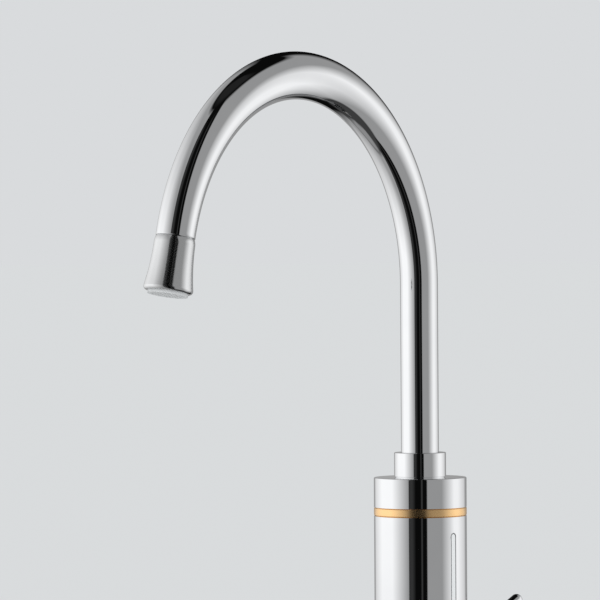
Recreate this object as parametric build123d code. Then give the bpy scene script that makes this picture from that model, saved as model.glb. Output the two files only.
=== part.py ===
from build123d import *

import math
import os

# Electric instant water heater tap with a gooseneck spout, in millimetres.
# +Z is up. The origin is on the worktop's surface at the centre of the base. The status window faces -Y,
# the lever is on the +X side, and at rest the spout points to -X.

# Clearances
thread_gap = 0.1
run_gap = 0.05
slip_gap = 0.2
free_gap = 0.3
foot_gap = 0.5

# Spout: the arch is a round bend drawn out upwards, so the tube is deeper where it runs level
tube_r = 11.0
tube_wall = 1.0
leg_length = 97.6
arch_radius = 96.5
arch_rise_ratio = 1.24
arch_turn = 166.3
arch_overrun = 3.0

# Spout's swivel foot and its socket
socket_bore_r = 9.0
adapter_length = 16.5
adapter_bore_r = 5.5
adapter_spigot = 7.5
swivel_flange = 2.2
swivel_land = 1.4
socket_land = 2.1
slide_ring = 2.0
ring_cord_r = 0.95
ring_spacing = 6.0
socket_flange_r = 18.0
socket_flange = 3.0
socket_wall = 2.5
socket_floor_wall = 2.0
outlet_spigot_r = 6.5
outlet_spigot = 7.0
outlet_passage_r = 4.5

# Aerator
aerator_length = 31.0
aerator_seam_r = 10.9
aerator_shoulder_r = 11.5
aerator_waist_r = 12.1
aerator_rim_r = 13.9
aerator_shoulder = 2.6
aerator_rounding = 1.6
insert_r = 11.4
insert_proud = 1.6
insert_height = 9.0
insert_wall = 1.5
insert_plate = 2.0
end_bush_reach = 6.0
end_bush_bore_r = 7.5
outlet_washer = 1.9
hole_pitch = 3.2
hole_r = 0.9

# Collar, cap, gold ring and shell
collar_height = 14.5
collar_lip = 2.0
collar_wall = 1.9
collar_seam = 0.5
cap_height = 17.3
cap_plate = 3.0
band_height = 5.0
band_chamfer = 0.6
edge_rounding = 0.5
body_r = 27.0
shell_wall = 1.5
shell_length = 110.0
spigot_depth = 7.0
base_spigot = 5.0
cap_spigot_wall = 1.6

# Status window and its lights
window_width = 4.4
window_length = 42.0
window_drop = 9.3
window_sink = 0.2
lens_flange = 1.8
lens_flange_depth = 1.1
light_size = 1.6
light_depth = 0.8
light_board_depth = 1.2
light_count = 3

# Tank and heating element
cup_wall = 1.0
cup_flange = 5.5
cup_flange_depth = 1.2
clamp_depth = 2.0
gasket_depth = 1.5
lid_depth = 5.8
lid_boss_wall = 1.4
lid_boss = 6.0
screw_r = 1.5
screw_head_r = 2.6
screw_head = 2.5
screw_count = 4
element_r = 2.5
element_legs = 6
element_to_wall = 1.0
element_floor = 6.5
element_ceiling = 5.2
element_stub = 1.2
terminal_r = 1.0
tab_width = 4.8
tab_thickness = 0.8
cutout_r = 4.5
cutout_height = 6.0
cutout_tab = 4.0

# Control board and its carrier
board_width = 22.0
board_length = 40.0
board_depth = 1.6
board_off_tank = 1.2
board_drop = 2.0
board_margin = 4.0
carrier_wall = 0.9
carrier_height = 8.0
carrier_rise = 13.0
block_size = (12.0, 3.4, 8.0)
switch_size = (14.0, 3.2, 16.0)

# Valve body and flow switch
valve_r = 14.0
valve_top = 52.0
neck_r = 11.5
neck_top = 64.0
flow_bore_r = 8.0
flow_floor_z = 48.0
plunger_disc = 2.5
plunger_stem_r = 1.8
stem_entry = 1.0
plunger_notch_r = 1.2
plunger_notches = 4
magnet_r = 4.2
magnet_height = 2.0
spring_r = 5.6
spring_wire_r = 0.4
spring_turns = 4
nipple_thread = 4.0
nipple_flange = 2.0
nipple_r = 5.0
nipple_bore_r = 3.5
nipple_proud = 1.0
nipple_hex = 17.0
inlet_washer = 1.0
tank_nut = 3.0
tank_nut_hex = 14.0
passage_r = 3.0
port_offset = 5.0
reed_r = 1.1
reed_length = 12.0

# Lever valve, along the X axis at the lever's height
lever_z = 32.0
cartridge_r = 12.5
cartridge_depth = 24.0
boss_wall = 3.0
boss_reach = 1.0
seal_depth = 1.0
seal_width = 2.0
seal_margin = 0.5
disc_depth = 3.0
moving_disc_r = 9.0
port_r = 2.5
driver_depth = 3.8
tang_width = 3.0
tang_length = 10.0
tang_depth = 1.5
housing_web = 5.5
spindle_r = 5.0
spindle_square = 7.0
square_length = 14.0
spindle_cord_r = 0.5
nut_depth = 6.0
nut_bore_r = 8.0
nut_slot = 2.0
nut_slot_width = 3.0
side_collar_wall = 2.9
side_collar_proud = 3.0

# Lever handle
handle_gap = 0.4
hub_r = 16.0
hub_length = 20.0
hub_rounding = 2.0
arm_lean = 60.0
arm_root_r = 4.8
arm_tip_r = 3.6
arm_length = 46.0
arm_root_height = 9.0
grub_r = 2.0
grub_hex = 2.0
grub_sink = 1.0
grub_socket = 2.0
index_r = 9.0
index_depth = 2.0
index_proud = 0.4

# Base, shell screw and cord gland
gasket_r = 28.5
base_gasket_depth = 2.0
flange_overhang = 2.5
flange_depth = 6.0
flange_rounding = 1.5
base_spigot_wall = 2.3
shell_screw_r = 1.5
shell_screw_socket = 1.5
gland_angle = 150.0
gland_r = 4.3
gland_lip = 0.9
gland_lip_depth = 2.0
cord_r = 3.5

# Shank and fixings under the worktop
shank_r = 10.4775
shank_bore_r = 6.0
shank_spigot_r = 8.0
shank_spigot = 10.0
shank_reach = 55.0
inlet_length = 12.0
relief_length = 3.0
relief_depth = 1.1
thread_chamfer = 0.8
worktop = 20.0
pad_r = 23.0
pad_depth = 3.0
washer_r = 24.0
washer_depth = 2.0
slot_width = 9.0
lock_nut_hex = 27.0
lock_nut_height = 8.0
filter_depth = 1.5
filter_hole_r = 0.8
filter_pitch = 2.4

# Heights that follow from the stack of pieces
shell_z = base_gasket_depth + flange_depth
band_z = shell_z + shell_length
cap_z = band_z + band_height
cap_top = cap_z + cap_height
plate_z = cap_top - cap_plate
collar_top = cap_top + collar_height
arch_z = collar_top + leg_length

# Radii that follow from the body
shell_bore_r = body_r - shell_wall
spigot_r = shell_bore_r - slip_gap
cap_bore_r = spigot_r - cap_spigot_wall
lid_r = cap_bore_r - slip_gap
cup_r = lid_r - cup_flange

# Spout's foot, from the collar down
socket_r = tube_r + socket_land
chamber_r = socket_r + thread_gap
collar_r = chamber_r + collar_wall
tube_foot_z = collar_top - collar_lip - slide_ring - free_gap
swivel_z = tube_foot_z - swivel_flange
socket_top = swivel_z - free_gap
socket_floor = socket_top - adapter_length - foot_gap
socket_neck_z = plate_z - socket_flange
spigot_top = socket_floor - socket_floor_wall
spigot_bottom = spigot_top - outlet_spigot

# Tank, from the flow switch's nipple up to the lid
window_top = band_z - window_drop
nipple_z = neck_top + nipple_flange
cup_z = nipple_z + inlet_washer
cup_floor = cup_z + cup_wall
lid_z = cap_z - spigot_depth - free_gap
cup_top = lid_z - gasket_depth
clamp_z = cup_top - cup_flange_depth - clamp_depth
board_z = clamp_z - board_drop - board_length
carrier_z = board_z + carrier_rise
lid_top = lid_z + lid_depth
terminal_z = lid_top + element_stub
terminal_height = spigot_top - free_gap - terminal_z
screw_circle_r = (cup_r + lid_r) / 2.0
element_circle_r = cup_r - cup_wall - element_to_wall - element_r

# Lever valve, from the mouth of its boss inwards
boss_end = body_r - boss_reach
chamber_floor = boss_end - cartridge_depth
boss_r = cartridge_r + boss_wall
fixed_disc_x = chamber_floor + seal_depth
housing_x = fixed_disc_x + disc_depth
moving_disc_x = housing_x + run_gap
driver_x = moving_disc_x + disc_depth + run_gap
web_x = driver_x + driver_depth + free_gap
nut_x = web_x + housing_web
side_collar_r = boss_r + thread_gap + side_collar_wall
side_collar_end = body_r + side_collar_proud
hub_x = side_collar_end + handle_gap
hub_end = hub_x + hub_length
square_x = boss_end
passage_x = chamber_floor - 2.0 * passage_r

# Outlet of the arch
turn = math.radians(arch_turn)
outlet_x = -arch_radius * (1.0 - math.cos(turn))
outlet_z = arch_z + arch_rise_ratio * arch_radius * math.sin(turn)
outlet_dir = Vector(-math.sin(turn), 0, arch_rise_ratio * math.cos(turn)).normalized()

# Local frames: the lever valve's +Z runs outwards along X, the outlet's +Z runs with the water
lever_frame = Plane(origin=(0, 0, lever_z), x_dir=(0, 1, 0), z_dir=(1, 0, 0))
outlet_frame = Plane(origin=(outlet_x, 0, outlet_z), x_dir=(0, 1, 0), z_dir=outlet_dir)

# The cord passes beside a flat of the lock nut and inside the gasket's bore
gland_radius = lock_nut_hex / 2.0 + foot_gap + cord_r
gasket_bore_r = gland_radius + cord_r + foot_gap
gland_place = Pos(
    gland_radius * math.cos(math.radians(gland_angle)),
    gland_radius * math.sin(math.radians(gland_angle)),
    0,
)


def rod(radius, low, high):
    """Upright round bar between two heights."""
    return Pos(0, 0, low) * Cylinder(radius, high - low, align=(Align.CENTER, Align.CENTER, Align.MIN))


def tube(outer, inner, low, high):
    """Upright round tube between two heights."""
    return rod(outer, low, high) - rod(inner, low, high)


def block(size, centre):
    """Box of a given size about a centre."""
    return Pos(*centre) * Box(*size)


def turned(points):
    """Solid turned about Z from the outline of its half section."""
    return revolve(Plane.XZ * make_face(Polyline(*points, close=True)), Axis.Z)


def hexagon(across_flats, low, high):
    """Upright hexagonal bar between two heights."""
    section = Pos(0, 0, low) * RegularPolygon(across_flats / 2.0, 6, major_radius=False)
    return extrude(section, high - low)


def ring_cord(circle_r, cord_radius, height):
    """O-ring lying level at a height."""
    return Pos(0, 0, height) * Torus(circle_r, cord_radius)


def around(count, radius, start=0.0):
    """Places evenly spread on a circle about Z."""
    places = []
    for index in range(count):
        angle = math.radians(start + 360.0 * index / count)
        places.append(Pos(radius * math.cos(angle), radius * math.sin(angle), 0))
    return places


def hole_field(field_r, pitch):
    """Places of a triangular field of holes inside a circle."""
    places = []
    rows = int(field_r / pitch) + 1
    for row in range(-rows, rows + 1):
        for column in range(-rows, rows + 1):
            x = pitch * (column + row / 2.0)
            y = pitch * row * math.sqrt(3.0) / 2.0
            if math.hypot(x, y) <= field_r:
                places.append(Pos(x, y, 0))
    return places


def upright_slot(width, length, top, depth_from, depth_to):
    """Bar with round ends, standing upright, that runs along Y between two depths."""
    shape = Pos(0, top - length / 2.0) * SlotOverall(length, width, rotation=90)
    return extrude(Plane.XZ.offset(-depth_from) * shape, depth_from - depth_to)


def arch(radius):
    """Drawn-out bend of a round bar, a little longer than the arch, standing on the leg's top."""
    bend_axis = Axis((-arch_radius, 0, 0), (0, -1, 0))
    bend = revolve(Plane.XY * Circle(radius), bend_axis, arch_turn + arch_overrun)
    return Pos(0, 0, arch_z) * scale(bend, by=(1, 1, arch_rise_ratio))


def spout_tube():
    """Gooseneck: a straight leg and the arch, hollow, cut square at the outlet."""
    beyond_outlet = outlet_frame * rod(3 * tube_r, 0, 3 * tube_r)
    outer = (arch(tube_r) + rod(tube_r, tube_foot_z, arch_z)) - beyond_outlet
    bore_r = tube_r - tube_wall
    inner = (arch(bore_r) + rod(bore_r, tube_foot_z, arch_z)) - beyond_outlet
    return outer - inner


def spout_adapter():
    """Brass foot of the spout: plugs into the socket, carries the swivel flange and enters the tube."""
    body = rod(socket_bore_r - run_gap, swivel_z - free_gap - adapter_length, swivel_z)
    body += rod(tube_r + swivel_land, swivel_z, tube_foot_z)
    body += rod(tube_r - tube_wall - run_gap, tube_foot_z, tube_foot_z + adapter_spigot)
    for height in ring_heights():
        groove_r = socket_bore_r - run_gap - 2.0 * ring_cord_r
        groove = tube(socket_bore_r + 1.0, groove_r, height - 1.1 * ring_cord_r, height + 1.1 * ring_cord_r)
        body -= groove
    return body - rod(adapter_bore_r, socket_floor, collar_top + adapter_spigot)


def ring_heights():
    """Heights of the two O-rings on the spout's foot."""
    middle = (socket_floor + socket_top) / 2.0
    return [middle - ring_spacing / 2.0, middle + ring_spacing / 2.0]


def spout_o_rings():
    """Two O-rings that seal the spout's foot in its socket."""
    circle_r = socket_bore_r - run_gap - ring_cord_r
    return [ring_cord(circle_r, ring_cord_r, height) for height in ring_heights()]


def spout_end_bush():
    """Threaded bush fixed in the tube's end, onto which the aerator screws."""
    bush_r = tube_r - tube_wall - run_gap
    return outlet_frame * tube(bush_r, end_bush_bore_r, -end_bush_reach, end_bush_reach)


def aerator_housing():
    """Flared aerator sleeve with a short shoulder, a slightly hollow flank and a rounded rim."""
    rim_z = aerator_length - aerator_rounding
    flank = ThreePointArc(
        (aerator_shoulder_r, aerator_shoulder),
        (aerator_waist_r, (aerator_shoulder + rim_z) / 2.0),
        (aerator_rim_r, rim_z),
    )
    rim = RadiusArc(
        (aerator_rim_r, rim_z), (aerator_rim_r - aerator_rounding, aerator_length), aerator_rounding
    )
    outline = Polyline(
        (aerator_rim_r - aerator_rounding, aerator_length),
        (0, aerator_length),
        (0, 0),
        (aerator_seam_r, 0),
        (aerator_shoulder_r, aerator_shoulder),
    )
    sleeve = revolve(Plane.XZ * make_face(flank + rim + outline), Axis.Z)
    thread_r = tube_r - tube_wall - run_gap + thread_gap
    sleeve -= rod(thread_r, 0, end_bush_reach + thread_gap + outlet_washer)
    sleeve -= rod(end_bush_bore_r, 0, aerator_length)
    sleeve -= rod(insert_r + slip_gap, insert_seat(), aerator_length + 1.0)
    return outlet_frame * sleeve


def insert_seat():
    """Depth of the aerator insert's seat in its sleeve."""
    return aerator_length + insert_proud - insert_height


def aerator_insert():
    """Perforated nozzle plate that stands a little proud of the sleeve's rim."""
    plug = rod(insert_r, insert_seat(), aerator_length + insert_proud)
    plug -= rod(insert_r - insert_wall, insert_seat(), aerator_length + insert_proud - insert_plate)
    for place in hole_field(insert_r - insert_wall - hole_r, hole_pitch):
        plug -= place * rod(hole_r, insert_seat(), aerator_length + insert_proud)
    return outlet_frame * plug


def aerator_washer():
    """Rubber washer between the threaded bush and the aerator sleeve."""
    outer = tube_r - tube_wall - run_gap
    low = end_bush_reach + thread_gap
    return outlet_frame * tube(outer, end_bush_bore_r, low, low + outlet_washer)


def spout_collar():
    """Plain round nut that screws onto the socket and holds the spout's swivel flange down."""
    lip_z = collar_top - collar_lip
    nut = turned(
        [
            (chamber_r, cap_top),
            (collar_r - collar_seam, cap_top),
            (collar_r - collar_seam, cap_top + collar_seam),
            (collar_r, cap_top + collar_seam),
            (collar_r, collar_top - edge_rounding),
            (collar_r - edge_rounding, collar_top),
            (tube_r + free_gap, collar_top),
            (tube_r + free_gap, lip_z),
            (chamber_r, lip_z),
        ]
    )
    return nut


def slide_ring_part():
    """Plastic ring under the collar's lip, on which the spout's flange turns."""
    lip_z = collar_top - collar_lip
    return tube(socket_r, tube_r + free_gap, lip_z - slide_ring, lip_z)


def spout_socket():
    """Brass outlet of the tank, clamped through the cap by the collar, in which the spout turns."""
    body = rod(socket_r, plate_z, socket_top)
    body += rod(socket_flange_r, socket_neck_z, plate_z)
    body += rod(socket_bore_r + socket_wall, spigot_top, socket_neck_z)
    body += rod(outlet_spigot_r, spigot_bottom, spigot_top)
    body -= rod(socket_bore_r, socket_floor, socket_top)
    return body - rod(outlet_passage_r, spigot_bottom, socket_floor)


def top_cap():
    """Chromed cap of the body, with a spigot that enters the gold ring and the shell."""
    cap = turned(
        [
            (socket_r + thread_gap, plate_z),
            (socket_r + thread_gap, cap_top),
            (body_r - edge_rounding, cap_top),
            (body_r, cap_top - edge_rounding),
            (body_r, cap_z),
            (spigot_r, cap_z),
            (spigot_r, cap_z - spigot_depth),
            (cap_bore_r, cap_z - spigot_depth),
            (cap_bore_r, plate_z),
        ]
    )
    return cap


def gold_ring():
    """Gold-coloured ring between cap and shell, with a fine chamfer at each edge."""
    ring = turned(
        [
            (spigot_r + thread_gap, band_z),
            (body_r - band_chamfer, band_z),
            (body_r, band_z + band_chamfer),
            (body_r, cap_z - band_chamfer),
            (body_r - band_chamfer, cap_z),
            (spigot_r + thread_gap, cap_z),
        ]
    )
    return ring


def body_shell():
    """Chromed shell with the window slot, the lever's round opening and the screw hole."""
    shell = tube(body_r, shell_bore_r, shell_z, band_z)
    shell -= upright_slot(window_width, window_length, window_top, 0, -2 * body_r)
    shell -= lever_frame * rod(side_collar_r + thread_gap, 0, 2 * body_r)
    return shell - shell_screw_bore()


def shell_screw_bore():
    """Bore of the shell's fixing screw, through the shell and the base's spigot at the back."""
    height = shell_z + base_spigot / 2.0
    bore = Plane(origin=(0, 0, height), x_dir=(1, 0, 0), z_dir=(0, 1, 0))
    return bore * rod(shell_screw_r, 0, 2 * body_r)


def shell_screw():
    """Grub screw with a hexagonal socket that holds the shell to the base."""
    height = shell_z + base_spigot / 2.0
    place = Plane(origin=(0, 0, height), x_dir=(1, 0, 0), z_dir=(0, 1, 0))
    head = body_r - slip_gap
    body = rod(shell_screw_r - run_gap, spigot_r - base_spigot_wall, head)
    return place * (body - hexagon(shell_screw_r, head - shell_screw_socket, head))


def light_window():
    """Clear lens of the status light: a slim bar with round ends on a flange behind the shell."""
    gap = 2 * free_gap
    lens_length = window_length - gap
    front = upright_slot(window_width - gap, lens_length, window_top - free_gap, lens_back(), -2 * body_r)
    front = front & rod(body_r - window_sink, 0, band_z)
    flange_front = lens_back() - lens_flange_depth
    width = window_width + 2 * lens_flange
    length = window_length + 2 * lens_flange
    flange = upright_slot(width, length, window_top + lens_flange, lens_back(), flange_front)
    return front + flange


def lens_back():
    """Depth of the back face of the status lens, whose flange clears the round of the shell."""
    return -shell_bore_r + 2 * slip_gap + lens_flange_depth


def status_lights():
    """Small lights in a row behind the lens."""
    lights = []
    step = window_length / (light_count + 1)
    for index in range(light_count):
        height = window_top - step * (index + 1)
        centre = (0, lens_back() + light_depth / 2.0, height)
        lights.append(block((light_size, light_depth, light_size), centre))
    return lights


def light_board():
    """Narrow circuit board that carries the status lights."""
    size = (window_width + 2 * lens_flange, light_board_depth, window_length + 2 * lens_flange)
    front = lens_back() + light_depth
    return block(size, (0, front + light_board_depth / 2.0, window_top - window_length / 2.0))


def tank_lid():
    """Brass lid of the tank with the outlet boss and holes for screws and element."""
    lid = rod(lid_r, lid_z, lid_top)
    bore_r = outlet_spigot_r + thread_gap
    lid += rod(bore_r + lid_boss_wall, lid_top, lid_top + lid_boss)
    lid -= rod(bore_r, spigot_bottom - free_gap, lid_top + lid_boss)
    lid -= rod(outlet_passage_r, lid_z, spigot_bottom)
    for place in around(screw_count, screw_circle_r, 45.0):
        lid -= place * rod(screw_r + thread_gap, lid_z, lid_top)
    for place in element_ends():
        lid -= place * rod(element_r + run_gap, lid_z, lid_top)
    return lid


def tank_gasket():
    """Silicone ring between the tank's flange and its lid."""
    ring = tube(lid_r, cup_r - cup_wall, cup_top, lid_z)
    for place in around(screw_count, screw_circle_r, 45.0):
        ring -= place * rod(screw_r + thread_gap, cup_top, lid_z)
    return ring


def tank_cup():
    """Stainless steel cup of the tank, with a rolled-out flange and an inlet hole."""
    cup = rod(cup_r, cup_z, cup_top)
    cup += rod(lid_r, cup_top - cup_flange_depth, cup_top)
    cup -= rod(cup_r - cup_wall, cup_floor, cup_top)
    cup -= rod(nipple_r + thread_gap, cup_z, cup_floor)
    for place in around(screw_count, screw_circle_r, 45.0):
        cup -= place * rod(screw_r + thread_gap, cup_top - cup_flange_depth, cup_top)
    return cup


def clamp_ring():
    """Steel ring under the tank's flange, threaded for the lid's screws."""
    top = cup_top - cup_flange_depth
    ring = tube(lid_r, cup_r + thread_gap, clamp_z, top)
    for place in around(screw_count, screw_circle_r, 45.0):
        ring -= place * rod(screw_r + run_gap, clamp_z, top)
    return ring


def tank_screws():
    """Screws that clamp the lid, gasket and flange to the ring."""
    screws = []
    for place in around(screw_count, screw_circle_r, 45.0):
        screw = rod(screw_r, clamp_z, lid_top)
        screw += rod(screw_head_r, lid_top, lid_top + screw_head)
        screw -= hexagon(screw_head_r, lid_top + screw_head / 2.0, lid_top + screw_head)
        screws.append(place * screw)
    return screws


def leg_places():
    """Centres of the element's upright legs on their circle, in the order of the bends."""
    step = 360.0 / element_legs
    places = []
    for index in range(element_legs):
        angle = math.radians(step * (index + 0.5))
        places.append(Vector(element_circle_r * math.cos(angle), element_circle_r * math.sin(angle), 0))
    return places


def element_ends():
    """Places of the element's two cold ends, where they pass through the lid."""
    legs = leg_places()
    return [Pos(legs[0].X, legs[0].Y, 0), Pos(legs[-1].X, legs[-1].Y, 0)]


def heating_element():
    """Tubular heating element: upright legs joined by half-turn bends, both ends through the lid."""
    legs = leg_places()
    bend_r = (legs[1] - legs[0]).length / 2.0
    low = cup_floor + element_floor + element_r + bend_r
    high = lid_z - element_ceiling - element_r - bend_r
    up = Vector(0, 0, 1)
    pieces = [Line(legs[0] + up * terminal_z, legs[0] + up * low)]
    for index in range(element_legs - 1):
        down = index % 2 == 0
        level = low if down else high
        dip = -bend_r if down else bend_r
        middle = (legs[index] + legs[index + 1]) * 0.5 + up * (level + dip)
        pieces.append(ThreePointArc(legs[index] + up * level, middle, legs[index + 1] + up * level))
        last = index == element_legs - 2
        other = high if down else low
        end = terminal_z if last else other
        pieces.append(Line(legs[index + 1] + up * level, legs[index + 1] + up * end))
    path = Wire([piece.edge() for piece in pieces])
    section = Plane(origin=legs[0] + up * terminal_z, z_dir=(0, 0, -1)) * Circle(element_r)
    return sweep(section, path=path)


def terminals():
    """Pin and spade tab on each cold end of the element."""
    parts = []
    for place in element_ends():
        pin = rod(terminal_r, terminal_z, terminal_z + terminal_height / 2.0)
        tab_centre = (0, 0, terminal_z + 0.75 * terminal_height)
        tab = block((tab_thickness, tab_width, terminal_height / 2.0), tab_centre)
        parts.append(place * (pin + tab))
    return parts


def thermal_cutout():
    """Round bimetal cut-out that sits on the lid beside the outlet boss."""
    centre = (outlet_spigot_r + thread_gap + lid_boss_wall + lid_r) / 2.0
    body = rod(cutout_r, lid_top, lid_top + cutout_height)
    for side in (-1, 1):
        tab_centre = (side * cutout_r / 2.0, 0, lid_top + cutout_height + cutout_tab / 2.0)
        body += block((tab_thickness, tab_width / 2.0, cutout_tab), tab_centre)
    return Pos(-centre, 0, 0) * body


def board_carrier():
    """Plastic clip round the tank that carries both circuit boards."""
    inner = cup_r + thread_gap
    arm_end = lens_back() + light_depth + light_board_depth + thread_gap
    reach = -arm_end - inner
    clip = rod(inner + carrier_wall, carrier_z, carrier_z + carrier_height)
    arm_centre = (0, arm_end + reach / 2.0, carrier_z + carrier_height / 2.0)
    clip += block((window_width, reach, carrier_height), arm_centre)
    return clip - rod(inner, carrier_z, carrier_z + carrier_height)


def board_face():
    """Depth of the control board's inner face."""
    return cup_r + board_off_tank


def control_board():
    """Control circuit board behind the tank."""
    centre = (0, board_face() + board_depth / 2.0, board_z + board_length / 2.0)
    return block((board_width, board_depth, board_length), centre)


def on_board(size, height):
    """Component of a given size on the outer face of the control board."""
    face = board_face() + board_depth
    return block(size, (0, face + size[1] / 2.0, height + size[2] / 2.0))


def reed_switch():
    """Glass reed switch beside the flow switch's neck."""
    body = rod(reed_r, valve_top, valve_top + reed_length)
    return Pos(0, neck_r + free_gap + reed_r, 0) * body


def tank_nipple():
    """Brass nipple that closes the flow switch and carries the tank."""
    nipple = rod(flow_bore_r - thread_gap, neck_top - nipple_thread, neck_top)
    nipple += hexagon(nipple_hex, neck_top, nipple_z)
    top = cup_floor + tank_nut + nipple_proud
    nipple += rod(nipple_r, nipple_z, top)
    return nipple - rod(nipple_bore_r, neck_top - nipple_thread, top)


def nipple_washer():
    """Rubber washer under the tank's bottom."""
    return tube(nipple_hex / 2.0, nipple_r + thread_gap, nipple_z, cup_z)


def tank_inlet_nut():
    """Nut inside the tank that holds it to the nipple."""
    low = cup_floor
    return hexagon(tank_nut_hex, low, low + tank_nut) - rod(nipple_r + thread_gap, low, low + tank_nut)


def valve_body():
    """Brass valve body: shank socket, lever valve chamber in a side boss, flow switch bore on top."""
    body = rod(valve_r, shell_z, valve_top) + rod(neck_r, valve_top, neck_top)
    body += lever_frame * rod(boss_r, 0, boss_end)
    body -= rod(shank_spigot_r + thread_gap, shell_z, shell_z + shank_spigot + free_gap)
    body -= rod(flow_bore_r, flow_floor_z, neck_top)
    body -= lever_frame * rod(cartridge_r + thread_gap, chamber_floor, boss_end)
    inlet_z = lever_z - port_offset
    outlet_port_z = lever_z + port_offset
    body -= Pos(passage_x, 0, 0) * rod(passage_r, shell_z + shank_spigot, inlet_z)
    body -= Pos(passage_x, 0, 0) * rod(passage_r, outlet_port_z, flow_floor_z)
    for height in (inlet_z, outlet_port_z):
        crossing = Plane(origin=(0, 0, height), x_dir=(0, 1, 0), z_dir=(1, 0, 0))
        body -= crossing * rod(passage_r, passage_x, chamber_floor)
    return body - gland_place * rod(gland_r + gland_lip + free_gap, shell_z, valve_top)


def flow_plunger():
    """Piston of the flow switch, lifted by the flow, with notches at its rim and a guide stem."""
    low = flow_floor_z + free_gap
    top = low + plunger_disc
    disc = rod(flow_bore_r - 2 * run_gap, low, top)
    for place in around(plunger_notches, flow_bore_r, 45.0):
        disc -= place * rod(plunger_notch_r, low, top)
    return disc + rod(plunger_stem_r, top, neck_top - nipple_thread + stem_entry)


def plunger_magnet():
    """Ring magnet on the plunger."""
    low = flow_floor_z + free_gap + plunger_disc
    return tube(magnet_r, plunger_stem_r + slip_gap, low, low + magnet_height)


def coil_path(radius, low, high, turns):
    """Rising coil as pairs of tangent arcs, four pairs a turn, with a short straight run at each end."""
    steps = 4 * turns
    climb = (high - low) / steps
    corner = math.radians(360.0 / 4)
    slope = climb / (radius * corner)
    points = []
    directions = []
    for index in range(steps + 1):
        angle = index * corner
        points.append(Vector(radius * math.cos(angle), radius * math.sin(angle), low + climb * index))
        directions.append(Vector(-math.sin(angle), math.cos(angle), slope).normalized())
    edges = [Line(points[0] - directions[0] * 2 * spring_wire_r, points[0])]
    for index in range(steps):
        edges += tangent_arcs(points[index], directions[index], points[index + 1], directions[index + 1])
    edges.append(Line(points[-1], points[-1] + directions[-1] * 2 * spring_wire_r))
    return Wire([piece.edge() for piece in edges])


def tangent_arcs(start, start_dir, end, end_dir):
    """Two arcs that join two points with given directions and meet smoothly between them."""
    chord = end - start
    bend = 2.0 * (start_dir.dot(end_dir) - 1.0)
    along = chord.dot(start_dir + end_dir)
    reach = (along - math.sqrt(along**2 - bend * chord.dot(chord))) / bend
    joint = (start + start_dir * reach + end - end_dir * reach) * 0.5
    joint_dir = (end - end_dir * reach - start - start_dir * reach).normalized()
    return [TangentArc(start, joint, tangent=start_dir), TangentArc(joint, end, tangent=joint_dir)]


def flow_spring():
    """Return spring of the flow switch, between the plunger and the nipple."""
    low = flow_floor_z + free_gap + plunger_disc + spring_wire_r + slip_gap
    high = neck_top - nipple_thread - spring_wire_r - slip_gap
    path = coil_path(spring_r, low, high, spring_turns)
    section = Plane(origin=path @ 0, z_dir=path % 0) * Circle(spring_wire_r)
    print("flow spring: least gap between turns", round((high - low) / spring_turns - 2 * spring_wire_r, 2))
    return sweep(section, path=path)


def cartridge_seal():
    """Rubber ring between the valve body and the fixed disc."""
    inner = port_offset + passage_r + seal_margin
    return lever_frame * tube(inner + seal_width, inner, chamber_floor, fixed_disc_x)


def fixed_disc():
    """Fixed ceramic disc with its inlet and outlet ports."""
    disc = rod(cartridge_r, fixed_disc_x, housing_x)
    for side in (-1, 1):
        disc -= Pos(0, side * port_offset, 0) * rod(passage_r, fixed_disc_x, housing_x)
    return lever_frame * disc


def moving_disc():
    """Ceramic disc that turns with the lever and opens the ports, with a slot for the spindle's tang."""
    top = moving_disc_x + disc_depth
    disc = rod(moving_disc_r, moving_disc_x, top)
    slot_depth = tang_depth + run_gap
    slot_size = (tang_length + slip_gap, tang_width + slip_gap, slot_depth)
    disc -= block(slot_size, (0, 0, top - slot_depth / 2.0))
    disc -= Pos(0, port_offset, 0) * rod(port_r, moving_disc_x, top - slot_depth)
    return lever_frame * disc


def cartridge_housing():
    """Brass sleeve that holds the discs and guides the spindle."""
    housing = rod(cartridge_r, housing_x, nut_x)
    housing -= rod(moving_disc_r + slip_gap, housing_x, web_x)
    return lever_frame * (housing - rod(spindle_r + run_gap, web_x, nut_x))


def spindle():
    """Valve spindle: driver with a tang, round stem with an O-ring groove, square end for the handle."""
    stem = block((tang_length, tang_width, tang_depth), (0, 0, driver_x - tang_depth / 2.0))
    stem += rod(moving_disc_r, driver_x, driver_x + driver_depth)
    stem += rod(spindle_r, driver_x + driver_depth, square_x)
    side = spindle_square
    stem += block((side, side, square_length), (0, 0, square_x + square_length / 2.0))
    groove_r = spindle_r - 2 * spindle_cord_r - run_gap
    middle = web_x + housing_web / 2.0
    groove = tube(spindle_r + 1.0, groove_r, middle - 1.2 * spindle_cord_r, middle + 1.2 * spindle_cord_r)
    return lever_frame * (stem - groove)


def spindle_o_ring():
    """O-ring of the spindle."""
    return lever_frame * ring_cord(spindle_r - spindle_cord_r, spindle_cord_r, web_x + housing_web / 2.0)


def cartridge_nut():
    """Ring nut that holds the cartridge in the valve body."""
    nut = tube(cartridge_r, nut_bore_r, nut_x, nut_x + nut_depth)
    for side in (0, 90):
        slot_centre = (0, 0, nut_x + nut_depth - nut_slot / 2.0)
        nut -= Rot(0, 0, side) * block((3 * cartridge_r, nut_slot_width, nut_slot), slot_centre)
    return lever_frame * nut


def side_collar():
    """Chromed collar on the valve's side boss, which reaches in to where the shell's opening is deepest."""
    low = math.sqrt(shell_bore_r**2 - side_collar_r**2) - slip_gap
    ring = rod(side_collar_r, low, side_collar_end)
    ring = chamfer(ring.edges().group_by(Axis.Z)[-1], edge_rounding)
    return lever_frame * (ring - rod(boss_r + thread_gap, low, side_collar_end))


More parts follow.
